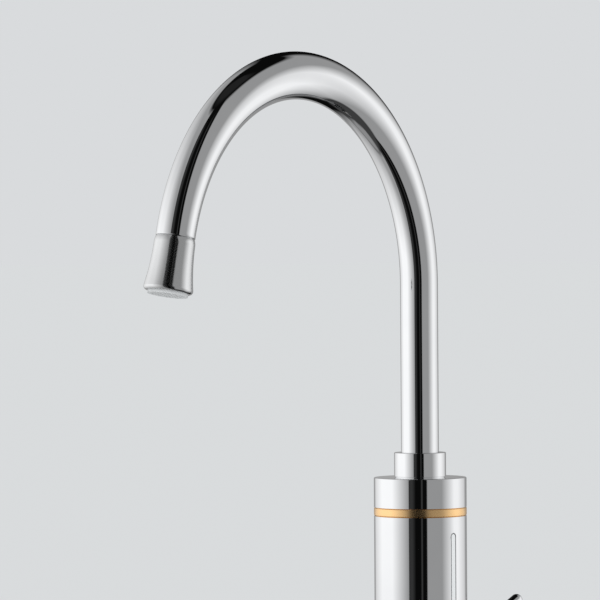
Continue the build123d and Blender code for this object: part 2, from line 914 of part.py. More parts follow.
def lever_handle():
    """Lever handle: round hub with a rounded end and a tapered arm that leans outwards."""
    hub = rod(hub_r, hub_x, hub_end)
    hub = fillet(hub.edges().group_by(Axis.Z)[-1], hub_rounding)
    lean = math.radians(arm_lean)
    root = Vector(0, arm_root_height, hub_x + hub_length / 2.0)
    arm_frame = Plane(origin=root, x_dir=(1, 0, 0), z_dir=(0, math.cos(lean), math.sin(lean)))
    arm = Cone(arm_root_r, arm_tip_r, arm_length, align=(Align.CENTER, Align.CENTER, Align.MIN))
    arm += Pos(0, 0, arm_length) * Sphere(arm_tip_r)
    handle = hub + arm_frame * arm
    depth = square_x + square_length + free_gap - hub_x
    side = spindle_square + slip_gap
    handle -= block((side, side, depth), (0, 0, hub_x + depth / 2.0))
    handle -= rod(index_r + thread_gap, hub_end - index_depth, hub_end)
    return lever_frame * handle - grub_bar(grub_r + run_gap, 2 * hub_r)


def grub_bar(radius, length):
    """Round bar from the spindle's flat straight down through the hub."""
    reach = spindle_square / 2.0 + slip_gap / 2.0
    middle = hub_x + (square_x + square_length - hub_x) / 2.0
    return Pos(middle, 0, lever_z) * Rot(180, 0, 0) * rod(radius, reach, length)


def lever_grub_screw():
    """Grub screw that holds the handle on the spindle, with a hexagonal socket."""
    head = hub_r - grub_sink
    screw = grub_bar(grub_r, head)
    middle = hub_x + (square_x + square_length - hub_x) / 2.0
    return screw - Pos(middle, 0, lever_z) * Rot(180, 0, 0) * hexagon(grub_hex, head - grub_socket, head)


def index_button():
    """Round cap in the hub's end that carries the hot and cold marks."""
    button = rod(index_r, hub_end - index_depth, hub_end + index_proud)
    return lever_frame * chamfer(button.edges().group_by(Axis.Z)[-1], index_proud)


def base_flange():
    """Chromed base that stands on the worktop, with a spigot for the shell and holes for shank and cord."""
    flange_r = body_r + flange_overhang
    low = base_gasket_depth
    base = rod(flange_r, low, shell_z)
    base = fillet(base.edges().group_by(Axis.Z)[-1], flange_rounding)
    base += tube(spigot_r, spigot_r - base_spigot_wall, shell_z, shell_z + base_spigot)
    base -= rod(shank_r + thread_gap, low, shell_z)
    base -= gland_place * rod(gland_r + run_gap, low, shell_z)
    base -= gland_place * rod(gland_r + gland_lip + slip_gap, shell_z, shell_z + gland_lip_depth + slip_gap)
    return base - shell_screw_bore()


def base_gasket():
    """Rubber ring between the base and the worktop."""
    return tube(gasket_r, gasket_bore_r, 0, base_gasket_depth)


def cord_gland():
    """Rubber gland of the supply cord, with a lip above the base."""
    gland = rod(gland_r, base_gasket_depth, shell_z)
    gland += rod(gland_r + gland_lip, shell_z, shell_z + gland_lip_depth)
    return gland_place * (gland - rod(cord_r, 0, shell_z + gland_lip_depth))


def mounting_shank():
    """Threaded brass shank: through the worktop, with the water inlet's thread below a relief groove."""
    low = -shank_reach
    shank = rod(shank_r, low, shell_z)
    shank = chamfer(shank.edges().group_by(Axis.Z)[0], thread_chamfer)
    shank += rod(shank_spigot_r, shell_z, shell_z + shank_spigot)
    relief_z = low + thread_chamfer + inlet_length
    shank -= tube(shank_r + 1.0, shank_r - relief_depth, relief_z, relief_z + relief_length)
    return shank - rod(shank_bore_r, low, shell_z + shank_spigot)


def horseshoe(radius, low, high):
    """Round plate about the shank with a slot to its edge for the cord."""
    plate = rod(radius, low, high) - rod(shank_r + slip_gap, low, high)
    length = 2 * radius
    slot = block((length, slot_width, high - low), (length / 2.0, 0, (low + high) / 2.0))
    return plate - Rot(0, 0, gland_angle) * slot


def lock_nut():
    """Hexagonal nut that pulls the tap down onto the worktop."""
    top = -worktop - pad_depth - washer_depth
    nut = hexagon(lock_nut_hex, top - lock_nut_height, top)
    return nut - rod(shank_r + thread_gap, top - lock_nut_height, top)


def inlet_filter():
    """Perforated filter disc in the mouth of the shank."""
    low = -shank_reach + filter_depth
    disc = rod(shank_bore_r - run_gap, low, low + filter_depth)
    for place in hole_field(shank_bore_r - 2 * filter_hole_r, filter_pitch):
        disc -= place * rod(filter_hole_r, low, low + filter_depth)
    return disc


pad_z = -worktop - pad_depth
washer_z = pad_z - washer_depth
block_z = board_z + board_margin
switch_z = board_z + board_length - switch_size[2] - board_margin

nodes = {
    "spout_tube": spout_tube(),
    "spout_adapter": spout_adapter(),
    "spout_o_rings": spout_o_rings(),
    "spout_end_bush": spout_end_bush(),
    "aerator_housing": aerator_housing(),
    "aerator_insert": aerator_insert(),
    "aerator_washer": aerator_washer(),
    "spout_collar": spout_collar(),
    "slide_ring": slide_ring_part(),
    "spout_socket": spout_socket(),
    "top_cap": top_cap(),
    "gold_ring": gold_ring(),
    "body_shell": body_shell(),
    "shell_screw": shell_screw(),
    "light_window": light_window(),
    "status_lights": status_lights(),
    "light_board": light_board(),
    "tank_lid": tank_lid(),
    "tank_gasket": tank_gasket(),
    "tank_cup": tank_cup(),
    "clamp_ring": clamp_ring(),
    "tank_screws": tank_screws(),
    "heating_element": heating_element(),
    "terminals": terminals(),
    "thermal_cutout": thermal_cutout(),
    "board_carrier": board_carrier(),
    "control_board": control_board(),
    "terminal_block": on_board(block_size, block_z),
    "power_switch": on_board(switch_size, switch_z),
    "reed_switch": reed_switch(),
    "tank_nipple": tank_nipple(),
    "nipple_washer": nipple_washer(),
    "tank_inlet_nut": tank_inlet_nut(),
    "valve_body": valve_body(),
    "flow_plunger": flow_plunger(),
    "plunger_magnet": plunger_magnet(),
    "flow_spring": flow_spring(),
    "cartridge_seal": cartridge_seal(),
    "fixed_disc": fixed_disc(),
    "moving_disc": moving_disc(),
    "cartridge_housing": cartridge_housing(),
    "spindle": spindle(),
    "spindle_o_ring": spindle_o_ring(),
    "cartridge_nut": cartridge_nut(),
    "side_collar": side_collar(),
    "lever_handle": lever_handle(),
    "lever_grub_screw": lever_grub_screw(),
    "index_button": index_button(),
    "base_flange": base_flange(),
    "base_gasket": base_gasket(),
    "cord_gland": cord_gland(),
    "mounting_shank": mounting_shank(),
    "rubber_pad": horseshoe(pad_r, pad_z, -worktop),
    "horseshoe_washer": horseshoe(washer_r, washer_z, pad_z),
    "lock_nut": lock_nut(),
    "inlet_filter": inlet_filter(),
}

os.makedirs("parts", exist_ok=True)
for name, shape in nodes.items():
    solids = shape if isinstance(shape, list) else [shape]
    whole = solids[0] if len(solids) == 1 else Compound(children=solids)
    export_step(whole, f"parts/{name}.step")
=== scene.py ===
"""Looks of the electric instant water heater tap: its modelled pieces, finishes, studio and camera."""

import logging
import math
from dataclasses import dataclass
from enum import Enum
from functools import lru_cache

import bmesh
import bpy
from mathutils import Matrix, Quaternion, Vector


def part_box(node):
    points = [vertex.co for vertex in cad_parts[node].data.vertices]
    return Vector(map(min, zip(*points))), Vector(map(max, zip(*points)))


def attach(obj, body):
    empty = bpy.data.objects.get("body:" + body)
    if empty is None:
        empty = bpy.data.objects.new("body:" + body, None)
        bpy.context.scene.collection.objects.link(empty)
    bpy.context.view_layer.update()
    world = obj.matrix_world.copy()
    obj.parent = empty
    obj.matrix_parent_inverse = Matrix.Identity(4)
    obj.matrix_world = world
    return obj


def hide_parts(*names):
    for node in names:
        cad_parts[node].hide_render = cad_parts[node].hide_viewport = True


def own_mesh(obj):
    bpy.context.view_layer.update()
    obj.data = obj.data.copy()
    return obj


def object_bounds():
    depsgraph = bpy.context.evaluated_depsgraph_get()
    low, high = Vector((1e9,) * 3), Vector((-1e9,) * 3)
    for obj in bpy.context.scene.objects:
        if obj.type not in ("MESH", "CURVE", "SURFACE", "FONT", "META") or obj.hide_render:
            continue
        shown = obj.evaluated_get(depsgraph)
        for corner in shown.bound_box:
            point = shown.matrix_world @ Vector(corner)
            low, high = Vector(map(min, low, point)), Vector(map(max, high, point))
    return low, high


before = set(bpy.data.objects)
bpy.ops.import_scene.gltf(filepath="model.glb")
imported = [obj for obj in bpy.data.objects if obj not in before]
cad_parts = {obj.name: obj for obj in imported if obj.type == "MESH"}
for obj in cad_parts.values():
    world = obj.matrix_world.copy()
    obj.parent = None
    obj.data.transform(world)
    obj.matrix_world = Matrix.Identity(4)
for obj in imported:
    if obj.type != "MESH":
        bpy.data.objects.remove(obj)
cad_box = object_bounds()

log = logging.getLogger("tap")

Edge = bmesh.types.BMEdge
Face = bmesh.types.BMFace
Vert = bmesh.types.BMVert
Tree = bpy.types.NodeTree
Socket = bpy.types.NodeSocket

# Sizes in this file are millimetres, and each finished mesh is scaled to metres
MM = 0.001
WELD = 1e-4
NEAR = 1e-3
ORIGIN = (0.0, 0.0, 0.0)
UP = (0.0, 0.0, 1.0)
QUARTER = math.radians(90.0)
TURN_STEPS = 144
ROUND_SEGMENTS = 4
EDGE_SEGMENTS = 3
EDGE_ANGLE = math.radians(60.0)
SHARP_ANGLE = math.radians(38.0)
SHELL_WALL = 1.5
SPIGOT_GAP = 0.2


class Body(Enum):
    """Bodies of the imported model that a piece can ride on."""

    BASE = "base_unit"
    SPOUT = "spout"
    LEVER = "lever"
    PLUNGER = "flow_plunger"


class Slot(Enum):
    """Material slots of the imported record."""

    CHROME = "polished_chrome"
    GOLD = "gold_plate"
    BRASS = "brass"
    STEEL = "steel"
    RUBBER = "rubber"
    WHITE = "white_plastic"
    BLACK = "black_plastic"
    CLEAR = "clear_plastic"
    BOARD = "circuit_board"
    CERAMIC = "ceramic"


def linear(colour: str) -> tuple[float, ...]:
    """Turns an sRGB hex colour to the linear values that shader sockets take.

    Args:
        colour: Six hex digits, such as "C9CCCF".

    Returns:
        Linear red, green, blue and an alpha of 1.
    """
    shares = [int(colour[start:start + 2], 16) / 255.0 for start in (0, 2, 4)]
    values = [share / 12.92 if share <= 0.04045 else ((share + 0.055) / 1.055) ** 2.4 for share in shares]
    return (*values, 1.0)


def repeats(size: float) -> float:
    """Scale of a texture node, in metres, whose pattern repeats each given number of millimetres."""
    return 1.0 / (size * MM)


@lru_cache(maxsize=None)
def node_box(node: str) -> tuple[Vector, Vector]:
    """Lowest and highest corner of a CAD node, in millimetres."""
    low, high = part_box(node)
    return low / MM, high / MM


def middle_height(node: str) -> float:
    """Height halfway up a CAD node, in millimetres."""
    low, high = node_box(node)
    return (low.z + high.z) / 2.0


def add_object(name: str, data: bpy.types.ID) -> bpy.types.Object:
    """Adds an object to the scene.

    Args:
        name: Name of the object.
        data: Its mesh, lamp or camera data.

    Returns:
        The new object.
    """
    added = bpy.data.objects.new(name, data)
    bpy.context.scene.collection.objects.link(added)
    return added


def empty_tree(owner: bpy.types.Material | bpy.types.World) -> Tree:
    """Gives a material or a world an empty node tree.

    Args:
        owner: The material or the world.

    Returns:
        Its node tree.
    """
    owner.use_nodes = True
    owner.node_tree.nodes.clear()
    return owner.node_tree


def add_node(
    tree: Tree, kind: str, settings: dict | None = None, links: dict | None = None
) -> bpy.types.NodeOutputs:
    """Adds a shader node with its settings and the links into it.

    Args:
        tree: Node tree that gets the node.
        kind: Type of the node, without the leading ShaderNode.
        settings: Values by property name, or by input name or number.
        links: Output sockets by the name or number of the input that they feed.

    Returns:
        The new node's outputs.
    """
    node = tree.nodes.new(f"ShaderNode{kind}")
    for key, value in (settings or {}).items():
        if isinstance(key, str) and hasattr(node, key):
            setattr(node, key, value)
        else:
            node.inputs[key].default_value = value
    for key, socket in (links or {}).items():
        tree.links.new(socket, node.inputs[key])
    return node.outputs


@dataclass(frozen=True)
class Finish:
    """Surface finish, made once and shared by the pieces that have it.

    Attributes:
        name: Common name of the real material and how it was made.
        slot: Material slot of the record that it belongs to. Not used.
        colour: sRGB hex colour.
        stain: Second sRGB hex colour that the first one drifts to.
        roughness: Mean roughness.
        spread: How far the roughness strays from its mean.
        patch: Size of the patches in which colour and roughness drift, in millimetres.
        relief: Length of the relief's waves, rings or grain in millimetres.
        depth: Depth of the relief in millimetres.
        metallic: 1 for a metal, 0 for anything else.
    """

    name: str
    slot: Slot
    colour: str
    stain: str
    roughness: float
    spread: float
    patch: float
    relief: float = 1.0
    depth: float = 0.0
    metallic: float = 0.0

    def material(self) -> bpy.types.Material:
        """Gives the finish's material, built the first time that it is asked for."""
        return bpy.data.materials.get(self.name) or self.build()

    def build(self) -> bpy.types.Material:
        """Builds the material: drifting colour and roughness, and the finish's own relief.

        Returns:
            The new material.
        """
        material = bpy.data.materials.new(self.name)
        tree = empty_tree(material)
        place = add_node(tree, "TexCoord")["Object"]
        patches = {"Scale": repeats(self.patch), "Detail": 4.0}
        drift = add_node(tree, "TexNoise", patches, {"Vector": place})["Fac"]
        colours = {"data_type": "RGBA", 6: linear(self.colour), 7: linear(self.stain)}
        colour = add_node(tree, "Mix", colours, {0: drift})[2]
        reach = {3: self.roughness - self.spread, 4: self.roughness + self.spread}
        rough = add_node(tree, "MapRange", reach, {0: drift})[0]
        bump = add_node(tree, "Bump", {"Distance": self.depth * MM}, {"Height": self.height(tree, place)})
        shader = add_node(
            tree,
            "BsdfPrincipled",
            {"Metallic": self.metallic, **self.shader_settings()},
            {"Base Color": self.tint(tree, place, colour), "Roughness": rough, "Normal": bump[0]},
        )
        add_node(tree, "OutputMaterial", {}, {"Surface": shader[0]})
        return material

    def shader_settings(self) -> dict:
        """Gives the shader inputs that are the finish's own."""
        return {}

    def tint(self, tree: Tree, place: Socket, colour: Socket) -> Socket:
        """Changes the colour where the finish has a pattern; a plain finish keeps it."""
        return colour

    def height(self, tree: Tree, place: Socket) -> Socket:
        """Gives the height of the relief, which each kind of finish draws its own way."""
        raise NotImplementedError


@dataclass(frozen=True)
class PolishedPlate(Finish):
    """Buffed and plated metal: a mirror with the faint waves that polishing leaves."""

    relief: float = 16.0
    depth: float = 0.004
    metallic: float = 1.0

    def height(self, tree: Tree, place: Socket) -> Socket:
        """Gives the height of the polishing waves."""
        waves = {"Scale": repeats(self.relief), "Detail": 1.0}
        return add_node(tree, "TexNoise", waves, {"Vector": place})["Fac"]


class Rings(Enum):
    """Way that a cutting tool's marks run round a turned piece."""

    UPRIGHT = "Z"
    SIDEWAYS = "X"


@dataclass(frozen=True)
class TurnedMetal(Finish):
    """Metal off the lathe: fine rings from the tool, drawn coarser than the real 0.1 to show.

    Attributes:
        rings: Axis that the rings follow.
    """

    relief: float = 0.5
    depth: float = 0.006
    metallic: float = 1.0
    rings: Rings = Rings.UPRIGHT

    def height(self, tree: Tree, place: Socket) -> Socket:
        """Draws the tool's rings.

        Args:
            tree: Node tree of the material.
            place: Object coordinates.

        Returns:
            The height of the rings.
        """
        rings = {
            "wave_type": "BANDS",
            "bands_direction": self.rings.value,
            "Scale": repeats(self.relief) / math.tau,
            "Distortion": 0.6,
            "Detail": 2.0,
            "Detail Scale": 0.2,
        }
        return add_node(tree, "TexWave", rings, {"Vector": place})["Fac"]


@dataclass(frozen=True)
class GrainedSurface(Finish):
    """Moulded, rolled or pressed surface with a fine even grain.

    Attributes:
        stretch: How many times longer the grain is along X than across.
        coat: Weight of a clear glossy skin.
        transmission: Share of the light that passes through.
        refraction: Index of refraction.
    """

    stretch: float = 1.0
    coat: float = 0.0
    transmission: float = 0.0
    refraction: float = 1.5

    def shader_settings(self) -> dict:
        """Gives the skin, the clearness and, for what is no metal, the refraction."""
        settings = {"Coat Weight": self.coat, "Transmission Weight": self.transmission}
        return settings if self.metallic else {**settings, "IOR": self.refraction}

    def height(self, tree: Tree, place: Socket) -> Socket:
        """Draws the grain.

        Args:
            tree: Node tree of the material.
            place: Object coordinates.

        Returns:
            The height of the grain.
        """
        squeeze = {"Scale": (1.0 / self.stretch, 1.0, 1.0)}
        stretched = add_node(tree, "Mapping", squeeze, {"Vector": place})[0]
        grain = {"Scale": repeats(self.relief), "Detail": 3.0}
        return add_node(tree, "TexNoise", grain, {"Vector": stretched})["Fac"]


@dataclass(frozen=True)
class MarkedPlastic(GrainedSurface):
    """White cap with a printed arc on each side, one warm and one cold, about a sideways axis.

    Attributes:
        axis_height: Height of the cap's axis in millimetres.
        inner: Inner radius of the arcs in millimetres.
        outer: Outer radius of the arcs in millimetres.
        gap: Half of the plain gap between the arcs in millimetres.
        warm: sRGB hex colour of the hot side's arc.
        cold: sRGB hex colour of the cold side's arc.
    """

    axis_height: float = 32.0
    inner: float = 5.2
    outer: float = 6.8
    gap: float = 1.6
    warm: str = "B3262B"
    cold: str = "1F5FA8"

    def tint(self, tree: Tree, place: Socket, colour: Socket) -> Socket:
        """Prints the two arcs over the plain colour.

        Args:
            tree: Node tree of the material.
            place: Object coordinates.
            colour: The plain colour.

        Returns:
            The colour with the arcs.
        """
        lowered = {"Location": (0.0, 0.0, -self.axis_height * MM)}
        centred = add_node(tree, "Mapping", lowered, {"Vector": place})[0]
        split = add_node(tree, "SeparateXYZ", {}, {0: centred})
        flat = add_node(tree, "CombineXYZ", {}, {1: split[1], 2: split[2]})[0]
        distance = add_node(tree, "VectorMath", {"operation": "LENGTH"}, {0: flat})["Value"]
        band = {1: (self.inner + self.outer) / 2.0 * MM, 2: (self.outer - self.inner) / 2.0 * MM}
        ring = add_node(tree, "Math", {"operation": "COMPARE", **band}, {0: distance})[0]
        for side, printed in ((1.0, self.warm), (-1.0, self.cold)):
            along = add_node(tree, "Math", {"operation": "MULTIPLY", 1: side}, {0: split[1]})[0]
            beyond = add_node(tree, "Math", {"operation": "GREATER_THAN", 1: self.gap * MM}, {0: along})[0]
            mask = add_node(tree, "Math", {"operation": "MULTIPLY"}, {0: ring, 1: beyond})[0]
            ink = {"data_type": "RGBA", 7: linear(printed)}
            colour = add_node(tree, "Mix", ink, {0: mask, 6: colour})[2]
        return colour


@dataclass(frozen=True)
class PrintedBoard(GrainedSurface):
    """Green circuit board: copper tracks show through the solder mask as paler lines.

    Attributes:
        track: Distance from track to track in millimetres.
        copper: sRGB hex colour of the mask over copper.
    """

    track: float = 2.4
    copper: str = "2F7A45"

    def tint(self, tree: Tree, place: Socket, colour: Socket) -> Socket:
        """Draws the tracks over the plain colour.

        Args:
            tree: Node tree of the material.
            place: Object coordinates.
            colour: The plain colour.

        Returns:
            The colour with the tracks.
        """
        upright = add_node(tree, "Mapping", {"Rotation": (QUARTER, 0.0, 0.0)}, {"Vector": place})[0]
        layout = {
            "Scale": repeats(self.track),
            "Mortar Size": 0.12,
            "Mortar Smooth": 0.2,
            "Brick Width": 2.5,
            "Row Height": 1.0,
        }
        tracks = add_node(tree, "TexBrick", layout, {"Vector": upright})["Fac"]
        ink = {"data_type": "RGBA", 7: linear(self.copper)}
        return add_node(tree, "Mix", ink, {0: tracks, 6: colour})[2]


# Chrome over polished brass: a neutral mirror, sharp reflections
CHROME = PolishedPlate("chrome_plate_polished", Slot.CHROME, "E0E1E2", "DADBDD", 0.035, 0.015, 18.0)
# Chrome over moulded plastic: the same colour, a little duller than on brass
PLASTIC_CHROME = PolishedPlate(
    "chrome_plate_on_plastic", Slot.CHROME, "D4D5D6", "CFD0D1", 0.15, 0.02, 9.0, 8.0
)
# Gold-coloured plate on a turned ring: satin, with fine rings round it
GOLD = TurnedMetal("gold_plate_satin", Slot.GOLD, "F6CE97", "EFC48A", 0.27, 0.03, 6.0, 0.35, 0.002)
# Turned brass, left bare: yellow, slightly dull, darker where it was handled
BRASS = TurnedMetal("brass_turned", Slot.BRASS, "D8B36A", "BE9650", 0.24, 0.05, 7.0)
# The same brass on pieces turned about the lever's axis
BRASS_SIDEWAYS = TurnedMetal(
    "brass_turned_sideways", Slot.BRASS, "D8B36A", "BE9650", 0.24, 0.05, 7.0, rings=Rings.SIDEWAYS
)
# Pressed zinc-plated steel: cool grey with a faint rolled grain
ZINC_STEEL = GrainedSurface(
    "steel_zinc_plated_pressed", Slot.STEEL, "B4B7BA", "A2A6AB", 0.34, 0.06, 5.0, 0.6, 0.004, 1.0, 6.0
)
# Deep-drawn stainless steel: brighter than zinc, with long drawing marks
STAINLESS = GrainedSurface(
    "stainless_steel_drawn", Slot.STEEL, "C3C4C4", "B5B6B6", 0.28, 0.05, 8.0, 0.4, 0.003, 1.0, 10.0
)
# Hardened black-oxide steel of the small screws: charcoal with a dull shine
BLACK_STEEL = GrainedSurface(
    "steel_black_oxide", Slot.STEEL, "3A3B3D", "4A4A4B", 0.38, 0.05, 2.0, 0.2, 0.004, 1.0
)
# Nickel sheath of the heating element: warm grey, matt from annealing
ELEMENT_SHEATH = GrainedSurface(
    "nickel_alloy_annealed", Slot.STEEL, "8F8B84", "77726A", 0.42, 0.06, 4.0, 0.3, 0.004, 1.0
)
# Moulded EPDM rubber: near black, matt, with dust that greys it in patches
RUBBER = GrainedSurface(
    "epdm_rubber_moulded", Slot.RUBBER, "1B1B1C", "262627", 0.62, 0.08, 6.0, 0.4, 0.02, refraction=1.52
)
# Grey silicone of the window's seal: softer and paler than the black rubber. Its grey is painted shade that
# stands in for the shadow in the gap round the lens
SEAL_AND_PAINTED_SHADE = GrainedSurface(
    "silicone_seal_grey_painted_shade", Slot.RUBBER, "66686A", "707274", 0.5, 0.06, 3.0, 0.3, 0.008, refraction=1.43
)
# Moulded acetal: milky white with a soft sheen
ACETAL = GrainedSurface(
    "acetal_moulded_white", Slot.WHITE, "E4E4E0", "DBDBD6", 0.36, 0.05, 7.0, 0.5, 0.006, refraction=1.48
)
# Moulded silicone of the nozzle plate: nearly white, with a softer sheen than acetal
NOZZLE = GrainedSurface(
    "silicone_nozzle_plate", Slot.WHITE, "ECEDED", "E4E5E5", 0.45, 0.05, 4.0, 0.3, 0.008, refraction=1.43
)
# Moulded black polyamide of the electrical parts: charcoal with a low sheen
POLYAMIDE = GrainedSurface(
    "polyamide_moulded_black", Slot.BLACK, "202123", "2A2B2D", 0.45, 0.05, 5.0, 0.3, 0.01, refraction=1.53
)
# Opal acrylic lens: milky white inside, polished in front
LENS = GrainedSurface(
    "acrylic_lens_opal", Slot.CLEAR, "F6F7F7", "F0F2F2", 0.3, 0.03, 6.0, 1.5, 0.001,
    coat=0.6, refraction=1.49,
)
# Glass of the reed switch: clear, with a breath of green
CLEAR_GLASS = GrainedSurface(
    "glass_clear", Slot.CLEAR, "E6EEE8", "DDE8E0", 0.05, 0.02, 3.0, 0.8, 0.001, transmission=0.85
)
# Epoxy of the lights: pale yellow, a little cloudy
LIGHT_EPOXY = GrainedSurface(
    "epoxy_light_yellow", Slot.CLEAR, "E9DFA6", "E2D48C", 0.2, 0.04, 1.0, 0.3, 0.004,
    coat=0.3, transmission=0.2, refraction=1.53,
)
# Solder mask over copper tracks: deep green and glossy, with paler lines
BOARD = PrintedBoard(
    "solder_mask_green", Slot.BOARD, "15532C", "1A5C33", 0.3, 0.05, 4.0, 0.3, 0.003, coat=0.4
)
# Lapped alumina: dense white with a polished face
ALUMINA = GrainedSurface(
    "alumina_lapped", Slot.CERAMIC, "EDEAE2", "E5E1D6", 0.14, 0.04, 5.0, 0.2, 0.001,
    coat=0.2, refraction=1.76,
)
# Moulded ABS cap of the lever: glossy white with a red and a blue printed arc
INDEX_CAP = MarkedPlastic(
    "abs_cap_printed", Slot.WHITE, "ECECE9", "E6E6E2", 0.26, 0.03, 5.0, 0.4, 0.004,
    coat=0.3, refraction=1.54,
)


def dress(finish: Finish, *nodes: str) -> None:
    """Gives CAD nodes, whose solids have the right shape, their finish.

    Args:
        finish: The surface finish.
        nodes: Names of the nodes.
    """
    for node in nodes:
        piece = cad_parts[node]
        piece.data.materials.clear()
        piece.data.materials.append(finish.material())
        log.info("%s: %s", node, finish.name)


def picked(parts: list, kind: type) -> list:
    """Picks the vertices, the edges or the faces out of what an operator gives."""
    return [part for part in parts if isinstance(part, kind)]


def turned_to(direction: Vector, origin: Vector) -> Matrix:
    """Matrix that takes the Z axis to a direction at an origin."""
    return Matrix.Translation(origin) @ direction.to_track_quat("Z", "Y").to_matrix().to_4x4()


def bowed(
    start: tuple[float, ...], middle: tuple[float, ...], end: tuple[float, ...], count: int
) -> list[tuple[float, ...]]:
    """Corners between the ends of the parabola through three corners.

    Args:
        start: Radius and height where the bow begins.
        middle: Radius and height halfway along.
        end: Radius and height where the bow ends.
        count: Number of stretches.

    Returns:
        The corners in order, without the two ends.
    """
    corners = []
    for index in range(1, count):
        share = index / count
        weights = (
            (1.0 - share) * (1.0 - 2.0 * share), 4.0 * share * (1.0 - share), share * (2.0 * share - 1.0)
        )
        pairs = list(zip(weights, (start, middle, end)))
        corners.append(tuple(sum(weight * corner[axis] for weight, corner in pairs) for axis in (0, 1)))
    return corners


class Shape:
    """Mesh under construction, in millimetres, shaped by bmesh operators."""

    def __init__(self) -> None:
        """Starts with an empty mesh."""
        self.mesh = bmesh.new()

    @classmethod
    def turned(cls, *corners: tuple[float, ...], steps: int = TURN_STEPS) -> "Shape":
        """Turns a closed outline about Z and rounds its corners.

        Args:
            corners: Radius and height of each corner, and its rounding if it has one, round the outline.
            steps: Number of faces round the axis.

        Returns:
            The closed solid.
        """
        shape = cls()
        verts = [shape.mesh.verts.new((corner[0], 0.0, corner[1])) for corner in corners]
        edges = []
        for index, corner in enumerate(corners):
            if corner[0] > 0.0 or corners[index - 1][0] > 0.0:
                edges.append(shape.mesh.edges.new((verts[index - 1], verts[index])))
        shape.spin(verts + edges, math.tau, steps, merge=True)
        shape.weld()
        for radius, height, *rounding in corners:
            if rounding:
                shape.round_ring(radius, height, rounding[0])
        return shape

    def spin(
        self,
        geometry: list,
        angle: float,
        steps: int,
        centre: tuple[float, float, float] = ORIGIN,
        axis: tuple[float, float, float] = UP,
        climb: float = 0.0,
        merge: bool = False,
    ) -> None:
        """Spins vertices and edges into faces.

        Args:
            geometry: The vertices and edges.
            angle: Angle that they are spun through.
            steps: Number of steps.
            centre: Point on the axis.
            axis: Direction of the axis.
            climb: Rise along Z at each step.
            merge: Whether the spin is a full turn that closes.
        """
        bmesh.ops.spin(
            self.mesh,
            geom=geometry,
            cent=centre,
            axis=axis,
            dvec=(0.0, 0.0, climb),
            angle=angle,
            steps=steps,
            use_merge=merge,
            use_normal_flip=False,
            use_duplicate=False,
        )

    def weld(self) -> None:
        """Merges vertices that lie on each other and turns every face outwards."""
        bmesh.ops.remove_doubles(self.mesh, verts=self.mesh.verts, dist=WELD)
        bmesh.ops.recalc_face_normals(self.mesh, faces=self.mesh.faces)

    def round_ring(self, radius: float, height: float, rounding: float) -> None:
        """Rounds the ring of edges at a corner of a turned outline.

        Args:
            radius: Distance of the corner from the axis.
            height: Height of the corner.
            rounding: Radius that the corner is rounded to.
        """
        ring = []
        for edge in self.mesh.edges:
            ends = [
                abs(math.hypot(vert.co.x, vert.co.y) - radius) + abs(vert.co.z - height)
                for vert in edge.verts
            ]
            if max(ends) < NEAR:
                ring.append(edge)
        self.round_edges(ring, rounding)

    def round_edges(self, edges: list[Edge], radius: float, segments: int = ROUND_SEGMENTS) -> None:
        """Rounds edges.

        Args:
            edges: Edges to round.
            radius: Distance from the edge to where the rounding starts.
            segments: Number of faces across the rounding.
        """
        bmesh.ops.bevel(
            self.mesh,
            geom=edges,
            offset=radius,
            offset_type="OFFSET",
            segments=segments,
            profile=0.5,
            affect="EDGES",
            clamp_overlap=False,
            material=-1,
        )

    def sharp_edges(self, angle: float = EDGE_ANGLE) -> list[Edge]:
        """Gives the edges whose faces meet at more than an angle."""
        return [edge for edge in self.mesh.edges if edge.is_manifold and edge.calc_face_angle() > angle]

    def rim(self) -> list[Edge]:
        """Gives the edges that have only one face."""
        return [edge for edge in self.mesh.edges if edge.is_boundary]

    def place(self, matrix: Matrix) -> "Shape":
        """Moves the whole mesh by a matrix and gives the shape back."""
        bmesh.ops.transform(self.mesh, matrix=matrix, verts=self.mesh.verts)
        return self

    def split(self, faces: list[Face], point: Vector, normal: Vector, clear: bool = False) -> list[Face]:
        """Splits faces along a plane.

        Args:
            faces: Faces to split.
            point: Point on the plane.
            normal: Direction of the plane.
            clear: Whether what lies in front of the plane goes.

        Returns:
            The faces that the split leaves of them.
        """
        verts = {vert for face in faces for vert in face.verts}
        edges = {edge for face in faces for edge in face.edges}
        result = bmesh.ops.bisect_plane(
            self.mesh,
            geom=[*verts, *edges, *faces],
            dist=WELD,
            plane_co=point,
            plane_no=normal,
            clear_outer=clear,
            clear_inner=False,
        )
        return picked(result["geom"], Face)

    def absorb(self, other: "Shape") -> None:
        """Takes over another shape's mesh beside its own.

        Args:
            other: The other shape, which ends.
        """
        data = other.to_data("part")
        self.mesh.from_mesh(data)
        bpy.data.meshes.remove(data)

    def to_data(self, name: str) -> bpy.types.Mesh:
        """Turns the shape into mesh data, which ends it.

        Args:
            name: Name of the data.

        Returns:
            The mesh data.
        """
        data = bpy.data.meshes.new(name)
        self.mesh.to_mesh(data)
        self.mesh.free()
        return data

    def finish(
        self, name: str, finish: Finish, *stands_for: str, body: Body = Body.BASE
    ) -> bpy.types.Object:
        """Makes the mesh a piece of the tap.

        Args:
            name: Name of the piece.
            finish: Its surface finish.
            stands_for: CAD nodes that it replaces.
            body: Body that it rides on.

        Returns:
            The finished object.
        """
        bmesh.ops.scale(self.mesh, vec=(MM, MM, MM), verts=self.mesh.verts)
        for face in self.mesh.faces:
            face.smooth = True
        for edge in self.mesh.edges:
            edge.smooth = not (edge.is_manifold and edge.calc_face_angle() > SHARP_ANGLE)
        data = self.to_data(name)
        piece = add_object(name, data)
        data.materials.append(finish.material())
        shading = piece.modifiers.new("even_shading", "WEIGHTED_NORMAL")
        shading.keep_sharp = True
        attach(piece, body.value)
        if stands_for:
            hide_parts(*stands_for)
        log.info("%s: %d faces on %s", name, len(data.polygons), body.value)
        return piece


